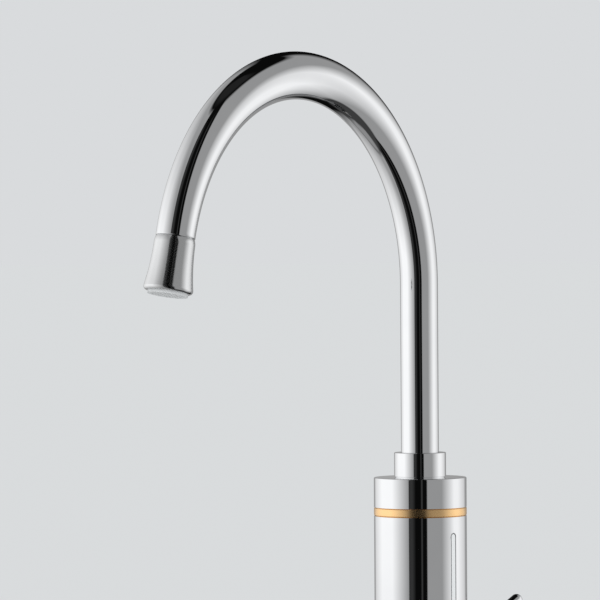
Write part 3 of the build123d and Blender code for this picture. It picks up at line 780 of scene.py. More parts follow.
def united(first: Shape, second: Shape) -> Shape:
    """Joins two closed shapes into one skin, which ends both.

    Args:
        first: Shape that is kept.
        second: Shape that is joined to it.

    Returns:
        The joined shape.
    """
    objects = [add_object("part", shape.to_data("part")) for shape in (first, second)]
    union = objects[0].modifiers.new("union", "BOOLEAN")
    union.operation = "UNION"
    union.solver = "EXACT"
    union.object = objects[1]
    seen = objects[0].evaluated_get(bpy.context.evaluated_depsgraph_get())
    joined = Shape()
    joined.mesh.from_mesh(seen.to_mesh())
    for part in objects:
        data = part.data
        bpy.data.objects.remove(part)
        bpy.data.meshes.remove(data)
    bmesh.ops.remove_doubles(joined.mesh, verts=joined.mesh.verts, dist=WELD)
    return joined


class RolledSheet(Shape):
    """Sheet that is drawn flat, has windows cut into it and is then rolled round the Z axis."""

    def __init__(self, width: float, low: float, high: float, columns: int, rows: int) -> None:
        """Draws the flat sheet, with its width along X and its height along Y.

        Args:
            width: Width of the sheet, centred on the front.
            low: Height of its lower edge.
            high: Height of its upper edge.
            columns: Faces across.
            rows: Faces up.
        """
        super().__init__()
        bmesh.ops.create_grid(self.mesh, x_segments=columns, y_segments=rows, size=0.5)
        stretch = Matrix.Diagonal((width, high - low, 1.0, 1.0))
        self.place(Matrix.Translation((0.0, (low + high) / 2.0, 0.0)) @ stretch)

    def parted(self, outline: list[Vector], reach: float = 0.0) -> list[Face]:
        """Cuts the sheet along a convex outline.

        Args:
            outline: Corners in order, leftwards round the area.
            reach: How far outside the outline's box faces may be cut.

        Returns:
            The faces inside the outline.
        """
        inside = self.mesh.faces[:]
        for axis in (0, 1):
            low = min(point[axis] for point in outline) - reach
            high = max(point[axis] for point in outline) + reach
            inside = [
                face for face in inside
                if max(vert.co[axis] for vert in face.verts) >= low
                and min(vert.co[axis] for vert in face.verts) <= high
            ]
        for start, end in zip(outline, outline[1:] + outline[:1]):
            side = (end - start).normalized()
            outward = Vector((side.y, -side.x, 0.0))
            faces = self.split(inside, start, outward)
            inside = [face for face in faces if (face.calc_center_median() - start).dot(outward) < 0.0]
        return inside

    def open_window(self, outline: list[Vector]) -> None:
        """Cuts a convex window out of the flat sheet."""
        bmesh.ops.delete(self.mesh, geom=self.parted(outline), context="FACES")

    def keep_window(self, outline: list[Vector]) -> None:
        """Keeps only a convex part of the flat sheet.

        Args:
            outline: Corners of the part in order, leftwards round it.
        """
        inside = set(self.parted(outline, math.inf))
        rest = [face for face in self.mesh.faces if face not in inside]
        bmesh.ops.delete(self.mesh, geom=rest, context="FACES")

    def roll(self, radius: float, wall: float, rounding: float) -> "RolledSheet":
        """Rolls the sheet round the Z axis, front to -Y, and gives it a wall with rounded rims.

        Args:
            radius: Radius of the outer face.
            wall: Thickness inwards.
            rounding: Rounding of the outer rims.

        Returns:
            The shape itself.
        """
        for vert in self.mesh.verts:
            angle = vert.co.x / radius
            vert.co = Vector((radius * math.sin(angle), -radius * math.cos(angle), vert.co.y))
        self.weld()
        if sum(face.normal.dot(face.calc_center_median()) for face in self.mesh.faces) < 0.0:
            bmesh.ops.reverse_faces(self.mesh, faces=self.mesh.faces)
        bmesh.ops.solidify(self.mesh, geom=self.mesh.faces[:], thickness=wall)
        bmesh.ops.recalc_face_normals(self.mesh, faces=self.mesh.faces)
        outer = [
            edge for edge in self.sharp_edges()
            if all(math.hypot(vert.co.x, vert.co.y) > radius - wall / 2.0 for vert in edge.verts)
        ]
        self.round_edges(outer, rounding, EDGE_SEGMENTS)
        return self


def upright_slot(width: float, low: float, high: float, segments: int = 16) -> list[Vector]:
    """Outline of an upright slot with round ends, leftwards round.

    Args:
        width: Width of the slot.
        low: Height of its lower end.
        high: Height of its upper end.
        segments: Stretches round each end.

    Returns:
        The outline's corners in the flat sheet.
    """
    radius = width / 2.0
    corners = []
    for middle, start in ((high - radius, 0.0), (low + radius, math.pi)):
        for index in range(segments + 1):
            angle = start + math.pi * index / segments
            corners.append(Vector((radius * math.cos(angle), middle + radius * math.sin(angle), 0.0)))
    return corners


def side_hole(radius: float, height: float, towards: float, sheet: float, segments: int) -> list[Vector]:
    """Outline, in the flat sheet, of a round hole bored sideways through the rolled one.

    Args:
        radius: Radius of the hole.
        height: Height of its axis.
        towards: Angle of its axis from the front, in radians.
        sheet: Radius that the sheet is rolled to.
        segments: Stretches round the hole.

    Returns:
        The outline's corners.
    """
    corners = []
    for index in range(segments):
        angle = math.tau * index / segments
        across = math.asin(radius * math.cos(angle) / sheet)
        corners.append(Vector((sheet * (towards + across), height + radius * math.sin(angle), 0.0)))
    return corners


@dataclass(frozen=True)
class Spout:
    """Gooseneck spout: the bent tube and the aerator that screws onto its end.

    Attributes:
        arch_radius: Radius of the arch before it is drawn out upwards.
        arch_rise: How much the arch is drawn out upwards.
        arch_turn: Angle that the arch turns through, in degrees.
        overrun: Angle past the outlet at which the tube is cut, in degrees.
        far_share: Where the outlet's half starts, in arch radii from the tube's foot.
        steps: Faces along the arch.
        sides: Faces round the tube.
        flank_stretches: Stretches along the aerator's bowed flank.
    """

    arch_radius: float = 96.5
    arch_rise: float = 1.24
    arch_turn: float = 166.3
    overrun: float = 3.0
    far_share: float = 1.5
    wall: float = 1.0
    steps: int = 180
    sides: int = 96
    aerator_length: float = 31.0
    seam_radius: float = 10.9
    seam_groove: float = 0.5
    shoulder_radius: float = 11.5
    shoulder: float = 2.6
    shoulder_rounding: float = 1.0
    waist_radius: float = 12.1
    flank_stretches: int = 16
    rim_radius: float = 13.9
    rim_rounding: float = 2.0
    rim_land: float = 0.1
    mouth_rounding: float = 0.2
    insert_radius: float = 11.4
    insert_gap: float = 0.2
    insert_proud: float = 1.6
    insert_height: float = 9.0
    thread_depth: float = 8.2
    thread_gap: float = 0.05
    passage_radius: float = 7.5

    @property
    def tube_radius(self) -> float:
        """Outer radius of the tube, from the CAD tube."""
        return node_box("spout_tube")[1].y

    @property
    def arch_height(self) -> float:
        """Height at which the arch starts."""
        return node_box("spout_tube")[1].z - self.arch_rise * (self.arch_radius + self.tube_radius)

    @property
    def outlet(self) -> Matrix:
        """Place of the outlet on the arch.

        Returns:
            Matrix whose Z axis runs with the water.
        """
        turn = math.radians(self.arch_turn)
        across = -self.arch_radius * (1.0 - math.cos(turn))
        height = self.arch_height + self.arch_rise * self.arch_radius * math.sin(turn)
        direction = Vector((-math.sin(turn), 0.0, self.arch_rise * math.cos(turn)))
        return turned_to(direction, Vector((across, 0.0, height)))

    def build(self) -> None:
        """Builds the tube and the aerator and dresses the nozzle plate."""
        self.build_tube()
        self.build_aerator()
        dress(NOZZLE, "aerator_insert")

    def build_tube(self) -> None:
        """Sweeps the tube: the arch is spun, drawn out upwards and cut square, the leg is extruded."""
        shape = Shape()
        mesh = shape.mesh
        circle = bmesh.ops.create_circle(mesh, segments=self.sides, radius=self.tube_radius)["verts"]
        angle = math.radians(self.arch_turn + self.overrun)
        centre = (-self.arch_radius, 0.0, 0.0)
        shape.spin(circle + mesh.edges[:], angle, self.steps, centre, (0.0, -1.0, 0.0))
        bmesh.ops.scale(mesh, vec=(1.0, 1.0, self.arch_rise), verts=mesh.verts)
        shape.place(Matrix.Translation((0.0, 0.0, self.arch_height)))
        outlet = self.outlet
        past = -self.far_share * self.arch_radius
        far = [face for face in mesh.faces if face.calc_center_median().x < past]
        shape.split(far, outlet.translation, outlet.to_3x3() @ Vector(UP), clear=True)
        leg = [edge for edge in shape.rim() if edge.verts[0].co.x > -self.arch_radius]
        grown = bmesh.ops.extrude_edge_only(mesh, edges=leg)["geom"]
        drop = (0.0, 0.0, node_box("spout_tube")[0].z - self.arch_height)
        bmesh.ops.translate(mesh, vec=drop, verts=picked(grown, Vert))
        shape.weld()
        lowest = min(mesh.faces, key=lambda face: face.calc_center_median().z)
        if lowest.normal.dot(lowest.calc_center_median()) < 0.0:
            bmesh.ops.reverse_faces(mesh, faces=mesh.faces)
        piece = shape.finish("gooseneck_tube", CHROME, "spout_tube", body=Body.SPOUT)
        wall = piece.modifiers.new("wall", "SOLIDIFY")
        wall.thickness = self.wall * MM
        wall.offset = -1.0
        # The shading is evened after the wall is there
        piece.modifiers.move(1, 0)

    def build_aerator(self) -> None:
        """Turns the flared aerator sleeve."""
        length = self.aerator_length
        flank = length - self.rim_rounding - self.rim_land
        start = (self.shoulder_radius, self.shoulder, self.shoulder_rounding)
        middle = (self.waist_radius, (self.shoulder + flank) / 2.0)
        end = (self.rim_radius, flank)
        bore = self.insert_radius + self.insert_gap
        seat = length + self.insert_proud - self.insert_height
        thread = self.tube_radius - self.wall + self.thread_gap
        shape = Shape.turned(
            (thread, 0.0),
            (self.seam_radius - self.seam_groove, 0.0),
            (self.seam_radius, self.seam_groove),
            start,
            *bowed(start, middle, end, self.flank_stretches),
            end,
            (self.rim_radius, length, self.rim_rounding),
            (bore, length, self.mouth_rounding),
            (bore, seat),
            (self.passage_radius, seat),
            (self.passage_radius, self.thread_depth),
            (thread, self.thread_depth),
        )
        shape.place(self.outlet).finish("aerator_sleeve", PLASTIC_CHROME, "aerator_housing", body=Body.SPOUT)


@dataclass(frozen=True)
class Head:
    """Collar, cap and gold ring at the head of the body."""

    collar_rounding: float = 0.5
    collar_seam: float = 0.5
    collar_seam_edge: float = 0.15
    collar_bore_gap: float = 0.3
    collar_bore_edge: float = 0.25
    lip: float = 2.0
    chamber_radius: float = 13.2
    cap_rounding: float = 0.5
    cap_lower_edge: float = 0.12
    cap_plate: float = 3.0
    cap_wall: float = 1.6
    ring_chamfer: float = 0.6
    ring_edge: float = 0.15
    ring_gap: float = 0.1

    def build(self) -> None:
        """Builds the three pieces."""
        self.build_collar()
        self.build_cap()
        self.build_ring()

    def build_collar(self) -> None:
        """Turns the plain round nut at the foot of the tube."""
        low, high = node_box("spout_collar")
        bore = node_box("spout_tube")[1].y + self.collar_bore_gap
        groove = high.x - self.collar_seam
        Shape.turned(
            (self.chamber_radius, low.z),
            (groove, low.z),
            (groove, low.z + self.collar_seam),
            (high.x, low.z + self.collar_seam, self.collar_seam_edge),
            (high.x, high.z, self.collar_rounding),
            (bore, high.z, self.collar_bore_edge),
            (bore, high.z - self.lip),
            (self.chamber_radius, high.z - self.lip),
        ).finish("collar_nut", CHROME, "spout_collar")

    def build_cap(self) -> None:
        """Turns the cap with the spigot that enters the ring and the shell."""
        low, high = node_box("top_cap")
        ring_high = node_box("gold_ring")[1]
        spigot = ring_high.x - SHELL_WALL - SPIGOT_GAP
        bore = spigot - self.cap_wall
        under = high.z - self.cap_plate
        Shape.turned(
            (self.chamber_radius, under),
            (self.chamber_radius, high.z),
            (ring_high.x, high.z, self.cap_rounding),
            (ring_high.x, ring_high.z, self.cap_lower_edge),
            (spigot, ring_high.z),
            (spigot, low.z),
            (bore, low.z),
            (bore, under),
        ).finish("head_cap", CHROME, "top_cap")

    def build_ring(self) -> None:
        """Turns the gold-coloured ring with its chamfered edges."""
        low, high = node_box("gold_ring")
        bore = high.x - SHELL_WALL - self.ring_gap
        Shape.turned(
            (bore, low.z),
            (high.x - self.ring_chamfer, low.z),
            (high.x, low.z + self.ring_chamfer, self.ring_edge),
            (high.x, high.z - self.ring_chamfer, self.ring_edge),
            (high.x - self.ring_chamfer, high.z),
            (bore, high.z),
        ).finish("gold_band", GOLD, "gold_ring")


@dataclass(frozen=True)
class Casing:
    """Body shell with the status window, its lens and what lies behind it."""

    rim_rounding: float = 0.2
    columns: int = 192
    rows: int = 10
    window_width: float = 3.9
    window_length: float = 42.0
    window_drop: float = 9.3
    window_margin: float = 1.0
    window_faces: int = 12
    seal_width: float = 0.4
    seal_sink: float = 0.08
    seal_depth: float = 1.0
    seal_fit: float = 0.02
    seal_rounding: float = 0.05
    lens_sink: float = 0.05
    lens_depth: float = 2.2
    lens_rounding: float = 0.3
    hole_gap: float = 0.1
    hole_segments: int = 96
    screw_radius: float = 1.5
    screw_segments: int = 24

    @property
    def radius(self) -> float:
        """Outer radius of the shell."""
        return node_box("body_shell")[1].x

    @property
    def window_top(self) -> float:
        """Height of the window's upper end."""
        return node_box("body_shell")[1].z - self.window_drop

    def build(self) -> None:
        """Builds the shell, the lens and its seal and dresses the screw and the lights."""
        self.build_shell()
        lens = self.window_sheet(self.seal_width)
        lens.roll(self.radius - self.lens_sink, self.lens_depth, self.lens_rounding)
        lens.finish("status_lens", LENS, "light_window")
        # The grey seal fills the gap round the lens; its grey is painted shade in place of the gap's shadow
        seal = self.window_sheet(self.seal_fit)
        seal.open_window(self.window_outline(self.seal_width - self.seal_fit))
        seal.roll(self.radius - self.seal_sink, self.seal_depth, self.seal_rounding)
        seal.finish("window_seal_painted_shade", SEAL_AND_PAINTED_SHADE)
        dress(BLACK_STEEL, "shell_screw")
        dress(LIGHT_EPOXY, "status_lights")
        dress(BOARD, "light_board")

    def build_shell(self) -> None:
        """Rolls the shell with its window, the lever's opening and the screw hole."""
        low, high = node_box("body_shell")
        sheet = RolledSheet(math.tau * self.radius, low.z, high.z, self.columns, self.rows)
        sheet.open_window(self.window_outline(0.0))
        hole = node_box("side_collar")[1].y + self.hole_gap
        axis = middle_height("side_collar")
        sheet.open_window(side_hole(hole, axis, QUARTER, self.radius, self.hole_segments))
        screw = middle_height("shell_screw")
        # The hole at the back lies across the sheet's seam, half at each edge
        for towards in (-math.pi, math.pi):
            sheet.open_window(side_hole(self.screw_radius, screw, towards, self.radius, self.screw_segments))
        sheet.roll(self.radius, SHELL_WALL, self.rim_rounding).finish("casing", CHROME, "body_shell")

    def window_outline(self, inset: float) -> list[Vector]:
        """Outline, in the flat sheet, of the window drawn in by an inset."""
        low = self.window_top - self.window_length + inset
        return upright_slot(self.window_width - 2.0 * inset, low, self.window_top - inset)

    def window_sheet(self, inset: float) -> RolledSheet:
        """Cuts a flat sheet to the window drawn in by an inset.

        Args:
            inset: Distance inwards from the window's edge.

        Returns:
            The flat sheet.
        """
        low = self.window_top - self.window_length - self.window_margin
        high = self.window_top + self.window_margin
        width = self.window_width + 2.0 * self.window_margin
        sheet = RolledSheet(width, low, high, self.window_faces, self.window_faces)
        sheet.keep_window(self.window_outline(inset))
        return sheet


@dataclass(frozen=True)
class Lever:
    """Side lever: its collar on the body, the hub, the arm and the cap with the two marks.

    Attributes:
        arm_lean: Angle between the arm and the upright, in degrees.
        arm_root: Height of the arm's start above the lever's axis.
        arm_tolerance: How far off the arm's surface an edge may lie and still count as on it.
        seam_angle: Least angle between the faces at the arm's seam, in degrees.
        recess_margin: How far outside the recess an edge still counts as in it, across and along.
    """

    collar_rounding: float = 0.5
    collar_wall: float = 2.9
    collar_bore_edge: float = 0.3
    hub_radius: float = 16.0
    hub_rounding: float = 2.0
    hub_edge: float = 0.5
    recess_edge: float = 0.3
    recess_margin: tuple[float, float] = (0.5, 0.1)
    arm_lean: float = 60.0
    arm_root: float = 9.0
    arm_root_radius: float = 4.8
    arm_tip_radius: float = 3.6
    arm_length: float = 46.0
    arm_steps: int = 64
    arm_tolerance: float = 0.05
    ball_segments: int = 10
    seam_rounding: float = 0.6
    seam_angle: float = 25.0
    cap_depth: float = 2.0
    cap_gap: float = 0.1
    cap_chamfer: float = 0.4
    bore: float = 3.6
    bore_depth: float = 9.7

    @property
    def axis(self) -> Matrix:
        """Matrix that lays a turned shape along X at the lever's height."""
        return turned_to(Vector((1.0, 0.0, 0.0)), Vector((0.0, 0.0, middle_height("side_collar"))))

    def build(self) -> None:
        """Builds the collar, the handle and the cap and dresses the screw."""
        self.build_collar()
        self.build_handle()
        self.build_cap()
        dress(BLACK_STEEL, "lever_grub_screw")

    def build_collar(self) -> None:
        """Turns the collar round the valve's side boss."""
        low, high = node_box("side_collar")
        bore = high.y - self.collar_wall
        shape = Shape.turned(
            (bore, low.x),
            (high.y, low.x),
            (high.y, high.x, self.collar_rounding),
            (bore, high.x, self.collar_bore_edge),
        )
        shape.place(self.axis).finish("lever_collar", CHROME, "side_collar")

    def build_handle(self) -> None:
        """Turns the hub, turns the arm, joins the two and rounds the seam between them."""
        start = node_box("lever_handle")[0].x
        cap_low, cap_high = node_box("index_button")
        end = cap_low.x + self.cap_depth
        recess = cap_high.y + self.cap_gap
        hub = Shape.turned(
            (self.bore, start),
            (self.hub_radius, start, self.hub_edge),
            (self.hub_radius, end, self.hub_rounding),
            (recess, end, self.recess_edge),
            (recess, end - self.cap_depth),
            (0.0, end - self.cap_depth),
            (0.0, start + self.bore_depth),
            (self.bore, start + self.bore_depth),
        ).place(self.axis)
        lean = math.radians(self.arm_lean)
        direction = Vector((math.sin(lean), 0.0, math.cos(lean)))
        root = Vector(((start + end) / 2.0, 0.0, middle_height("side_collar") + self.arm_root))
        handle = united(hub, self.turned_arm().place(turned_to(direction, root)))
        seam = [
            edge for edge in handle.sharp_edges(math.radians(self.seam_angle))
            if self.on_arm(edge, root, direction) and not self.in_recess(edge, recess, end)
        ]
        handle.round_edges(seam, self.seam_rounding, EDGE_SEGMENTS)
        handle.finish("lever_handle_piece", CHROME, "lever_handle", body=Body.LEVER)

    def in_recess(self, edge: Edge, recess: float, end: float) -> bool:
        """Tells whether an edge belongs to the recess of the cap.

        Args:
            edge: Edge in question.
            recess: Radius of the recess.
            end: Where the hub ends along its axis.

        Returns:
            True if the edge's middle is in the recess.
        """
        across, along = self.recess_margin
        middle = (edge.verts[0].co + edge.verts[1].co) / 2.0
        away = math.hypot(middle.y, middle.z - middle_height("side_collar"))
        return away < recess + across and middle.x > end - self.cap_depth - along

    def on_arm(self, edge: Edge, root: Vector, direction: Vector) -> bool:
        """Tells whether an edge lies on the arm's surface.

        Args:
            edge: Edge in question.
            root: Where the arm's axis starts.
            direction: Where the arm's axis points.

        Returns:
            True if both ends are as far from the arm's axis as its surface is.
        """
        for vert in edge.verts:
            away = vert.co - root
            along = away.dot(direction)
            distance = (away - direction * along).length
            share = along / self.arm_length
            surface = self.arm_root_radius + (self.arm_tip_radius - self.arm_root_radius) * share
            if abs(distance - surface) > self.arm_tolerance:
                return False
        return True

    def turned_arm(self) -> Shape:
        """Turns the tapered arm with its ball tip.

        Returns:
            The arm, standing on the origin.
        """
        length = self.arm_length
        tip = self.arm_tip_radius
        angles = [QUARTER * index / self.ball_segments for index in range(self.ball_segments)]
        ball = [(tip * math.cos(angle), length + tip * math.sin(angle)) for angle in angles]
        root = self.arm_root_radius
        return Shape.turned((0.0, 0.0), (root, 0.0), *ball, (0.0, length + tip), steps=self.arm_steps)

    def build_cap(self) -> None:
        """Turns the cap that closes the hub."""
        low, high = node_box("index_button")
        shape = Shape.turned(
            (0.0, low.x), (high.y, low.x), (high.y, high.x, self.cap_chamfer), (0.0, high.x)
        )
        shape.place(self.axis).finish("lever_cap", INDEX_CAP, "index_button", body=Body.LEVER)


@dataclass(frozen=True)
class Base:
    """Base flange, its rubber ring and the cord's gland."""

    rounding: float = 1.5
    lower_edge: float = 0.3
    spigot_wall: float = 2.3
    shank_gap: float = 0.1
    gasket_bore: float = 21.5
    gasket_edge: float = 0.5

    def build(self) -> None:
        """Builds the flange and the ring and dresses the gland."""
        self.build_flange()
        self.build_gasket()
        dress(RUBBER, "cord_gland")

    def build_flange(self) -> None:
        """Turns the flange with the spigot that the shell sits on."""
        low, high = node_box("base_flange")
        shell_low, shell_high = node_box("body_shell")
        spigot = shell_high.x - SHELL_WALL - SPIGOT_GAP
        shank = node_box("mounting_shank")[1].x + self.shank_gap
        Shape.turned(
            (shank, low.z),
            (high.x, low.z, self.lower_edge),
            (high.x, shell_low.z, self.rounding),
            (spigot, shell_low.z),
            (spigot, high.z),
            (spigot - self.spigot_wall, high.z),
            (spigot - self.spigot_wall, shell_low.z),
            (shank, shell_low.z),
        ).finish("base_plate", CHROME, "base_flange")

    def build_gasket(self) -> None:
        """Turns the rubber ring under the base."""
        low, high = node_box("base_gasket")
        bore = self.gasket_bore
        corners = ((bore, low.z), (high.x, low.z), (high.x, high.z), (bore, high.z))
        shape = Shape.turned(*((*corner, self.gasket_edge) for corner in corners))
        shape.finish("base_seal", RUBBER, "base_gasket")


@dataclass(frozen=True)
class Fixings:
    """Threaded shank with what clamps the tap under the worktop.

    Attributes:
        thread_flat: Width of the thread's flat crest and root, in pitches.
        thread_core: How far each band of thread reaches inside its root.
        thread_merge: Distance at which one turn of the thread joins the next.
        slot_angle: Direction of the plates' slot, in degrees.
        nut_chamfer_angle: Slope of the nut's chamfers, in degrees.
    """

    thread_pitch: float = 1.814
    thread_depth: float = 1.162
    thread_flat: float = 0.125
    thread_steps: int = 48
    thread_core: float = 0.3
    thread_merge: float = 0.01
    core_gap: float = 0.05
    core_steps: int = 96
    shank_bore: float = 6.0
    shank_spigot: float = 8.0
    chamfer: float = 0.8
    relief_length: float = 3.0
    inlet_length: float = 12.0
    slot_width: float = 9.0
    slot_angle: float = 150.0
    plate_fit: float = 0.2
    plate_steps: int = 128
    pad_edge: float = 0.6
    washer_edge: float = 0.25
    nut_sides: int = 6
    nut_flats: float = 27.0
    nut_fit: float = 0.1
    nut_edge: float = 0.4
    nut_chamfer_angle: float = 30.0

    def build(self) -> None:
        """Builds the shank, the two plates and the nut and dresses the filter."""
        self.build_shank()
        self.build_plate("rubber_pad", "deck_pad", RUBBER, self.pad_edge)
        self.build_plate("horseshoe_washer", "deck_washer", ZINC_STEEL, self.washer_edge)
        self.build_nut()
        dress(STAINLESS, "inlet_filter")

    def build_shank(self) -> None:
        """Builds the hollow shank with its real thread, broken by the relief groove."""
        low, high = node_box("mounting_shank")
        seat = node_box("body_shell")[0].z
        crest = high.x
        start = low.z + self.chamfer
        relief = start + self.inlet_length
        shape = Shape()
        for ends in ((start, relief), (relief + self.relief_length, 0.0)):
            shape.absorb(self.thread_band(crest, *ends))
        root = crest - self.thread_depth - self.core_gap
        core = Shape.turned(
            (self.shank_bore, low.z),
            (crest - self.chamfer, low.z),
            (root, start),
            (root, 0.0),
            (crest, 0.0),
            (crest, seat),
            (self.shank_spigot, seat),
            (self.shank_spigot, high.z),
            (self.shank_bore, high.z),
            steps=self.core_steps,
        )
        shape.absorb(core)
        shape.finish("threaded_shank", BRASS, "mounting_shank")

    def thread_band(self, crest: float, low: float, high: float) -> Shape:
        """Builds a band of screw thread as a closed ring of its own.

        Args:
            crest: Outer radius of the thread.
            low: Height of the band's lower end.
            high: Height of its upper end.

        Returns:
            The band.
        """
        pitch = self.thread_pitch
        root = crest - self.thread_depth
        turns = math.ceil((high - low) / pitch) + 2
        flat = pitch * self.thread_flat
        flank = (pitch - 2.0 * flat) / 2.0
        outline = (
            (root, 0.0),
            (root, flat),
            (crest, flat + flank),
            (crest, 2.0 * flat + flank),
            (root, pitch),
        )
        band = Shape()
        mesh = band.mesh
        verts = [mesh.verts.new((radius, 0.0, low - pitch + height)) for radius, height in outline]
        edges = [mesh.edges.new(pair) for pair in zip(verts, verts[1:])]
        climb = pitch / self.thread_steps
        band.spin(verts + edges, math.tau * turns, turns * self.thread_steps, climb=climb)
        bmesh.ops.remove_doubles(mesh, verts=mesh.verts, dist=self.thread_merge)
        rims = []
        for height, outward in ((low, -1.0), (high, 1.0)):
            level = Vector((0.0, 0.0, height))
            band.split(mesh.faces[:], level, Vector((0.0, 0.0, outward)), clear=True)
            rim = [
                edge for edge in band.rim() if all(abs(vert.co.z - height) < WELD for vert in edge.verts)
            ]
            grown = bmesh.ops.extrude_edge_only(mesh, edges=rim)["geom"]
            for vert in picked(grown, Vert):
                outwards = Vector((vert.co.x, vert.co.y, 0.0)).normalized()
                vert.co = outwards * (root - self.thread_core) + level
            rims += [edge for edge in picked(grown, Edge) if edge.is_boundary]
        bmesh.ops.bridge_loops(mesh, edges=rims)
        band.weld()
        return band

    def build_plate(self, node: str, name: str, finish: Finish, edge: float) -> None:
        """Builds a round plate about the shank with a slot to its edge.

        Args:
            node: CAD node that it stands for.
            name: Name of the piece.
            finish: Its surface finish.
            edge: Rounding of its edges.
        """
        low, high = node_box(node)
        bore = node_box("mounting_shank")[1].x + self.plate_fit
        shape = Shape()
        mesh = shape.mesh
        for size in (high.x, bore):
            bmesh.ops.create_circle(mesh, segments=self.plate_steps, radius=size)
        bmesh.ops.bridge_loops(mesh, edges=mesh.edges[:])
        angle = math.radians(self.slot_angle)
        along = Vector((math.cos(angle), math.sin(angle), 0.0))
        across = Vector((-along.y, along.x, 0.0))
        half = self.slot_width / 2.0
        for side in (-1.0, 1.0):
            shape.split(mesh.faces[:], across * side * half, across)
        slot = []
        for face in mesh.faces:
            centre = face.calc_center_median()
            if abs(centre.dot(across)) < half and centre.dot(along) > 0.0:
                slot.append(face)
        bmesh.ops.delete(mesh, geom=slot, context="FACES")
        shape.place(Matrix.Translation((0.0, 0.0, low.z)))
        grown = bmesh.ops.extrude_face_region(mesh, geom=mesh.faces[:])["geom"]
        bmesh.ops.translate(mesh, vec=(0.0, 0.0, high.z - low.z), verts=picked(grown, Vert))
        shape.weld()
        shape.round_edges(shape.sharp_edges(), edge, EDGE_SEGMENTS)
        shape.finish(name, finish, node)

    def build_nut(self) -> None:
        """Turns the nut with its chamfers and cuts its six flats."""
        low, high = node_box("lock_nut")
        flats = self.nut_flats / 2.0
        step = math.tau / self.nut_sides
        corner = flats / math.cos(step / 2.0)
        face = flats - self.nut_edge
        drop = (corner - face) * math.tan(math.radians(self.nut_chamfer_angle))
        bore = node_box("mounting_shank")[1].x + self.nut_fit
        shape = Shape.turned(
            (bore, low.z, self.nut_edge),
            (face, low.z),
            (corner, low.z + drop),
            (corner, high.z - drop),
            (face, high.z),
            (bore, high.z, self.nut_edge),
        )
        for index in range(self.nut_sides):
            angle = step * (index + 0.5)
            normal = Vector((math.cos(angle), math.sin(angle), 0.0))
            shape.split(shape.mesh.faces[:], normal * flats, normal, clear=True)
            bmesh.ops.holes_fill(shape.mesh, edges=shape.rim(), sides=0)
        shape.weld()
        shape.finish("clamp_nut", BRASS, "lock_nut")


@dataclass(frozen=True)
class Inside:
    """Pieces inside the tap: most only need their finish, and the switch's spring is wound.

    Attributes:
        travel: How far the flow switch's plunger rises. Not used.
    """

    wire_radius: float = 0.4
    wire_sides: int = 12
    spring_radius: float = 5.6
    spring_turns: int = 4
    spring_steps: int = 48
    travel: float = 2.0

    def build(self) -> None:
        """Dresses each hidden piece and winds the spring."""
        dress(BRASS, "spout_adapter", "spout_end_bush", "spout_socket")
        dress(BRASS, "tank_lid", "tank_nipple", "tank_inlet_nut", "valve_body")
        dress(BRASS_SIDEWAYS, "cartridge_housing", "cartridge_nut", "spindle")
        dress(STAINLESS, "tank_cup", "terminals")
        dress(ZINC_STEEL, "clamp_ring", "tank_screws")
        dress(ELEMENT_SHEATH, "heating_element", "plunger_magnet")
        dress(RUBBER, "spout_o_rings", "aerator_washer", "tank_gasket")
        dress(RUBBER, "nipple_washer", "cartridge_seal", "spindle_o_ring")
        dress(ACETAL, "slide_ring", "board_carrier", "flow_plunger")
        dress(POLYAMIDE, "thermal_cutout", "terminal_block", "power_switch")
        dress(CLEAR_GLASS, "reed_switch")
        dress(BOARD, "control_board")
        dress(ALUMINA, "fixed_disc", "moving_disc")
        self.build_spring()

    def build_spring(self) -> None:
        """Winds the spring that the rising plunger presses against the nipple."""
        low, high = node_box("flow_spring")
        pitch = (high.z - low.z - 2.0 * self.wire_radius) / self.spring_turns
        lean = math.atan2(pitch, math.tau * self.spring_radius)
        place = Matrix.Translation((self.spring_radius, 0.0, low.z + self.wire_radius))
        shape = Shape()
        mesh = shape.mesh
        section = bmesh.ops.create_circle(
            mesh,
            segments=self.wire_sides,
            radius=self.wire_radius,
            matrix=place @ Matrix.Rotation(lean - QUARTER, 4, "X"),
        )["verts"]
        angle = math.tau * self.spring_turns
        steps = self.spring_steps * self.spring_turns
        shape.spin(section + mesh.edges[:], angle, steps, climb=pitch / self.spring_steps)
        bmesh.ops.holes_fill(mesh, edges=shape.rim(), sides=0)
        shape.weld()
        piece = shape.finish("switch_spring", STAINLESS, "flow_spring", body=Body.PLUNGER)
        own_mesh(piece)


@dataclass(frozen=True)
class Window:
    """Directions round the tap, in degrees, with the angles at which each side starts and is full.

    Attributes:
        around: Left start, left full, right full and right end, with plus to the camera's right.
        above: The same from the lower end to the upper end, with plus above the horizon.
    """

    around: tuple[float, float, float, float]
    above: tuple[float, float, float, float]


@dataclass(frozen=True)
class Card:
    """Lit card round the tap, with an even level and a brighter core.

    Attributes:
        window: Directions that the card covers.
        level: Its even brightness, where 1 is white.
        core: Directions over which its core spreads.
        core_level: Brightness of the core.
    """

    window: Window
    level: float
    core: Window | None = None
    core_level: float = 0.0


@dataclass(frozen=True)
class Sun:
    """Soft sun of the studio.

    Attributes:
        name: Name of the lamp.
        towards: Direction from the tap to the sun.
        strength: Its strength.
    """

    name: str
    towards: tuple[float, float, float]
    strength: float


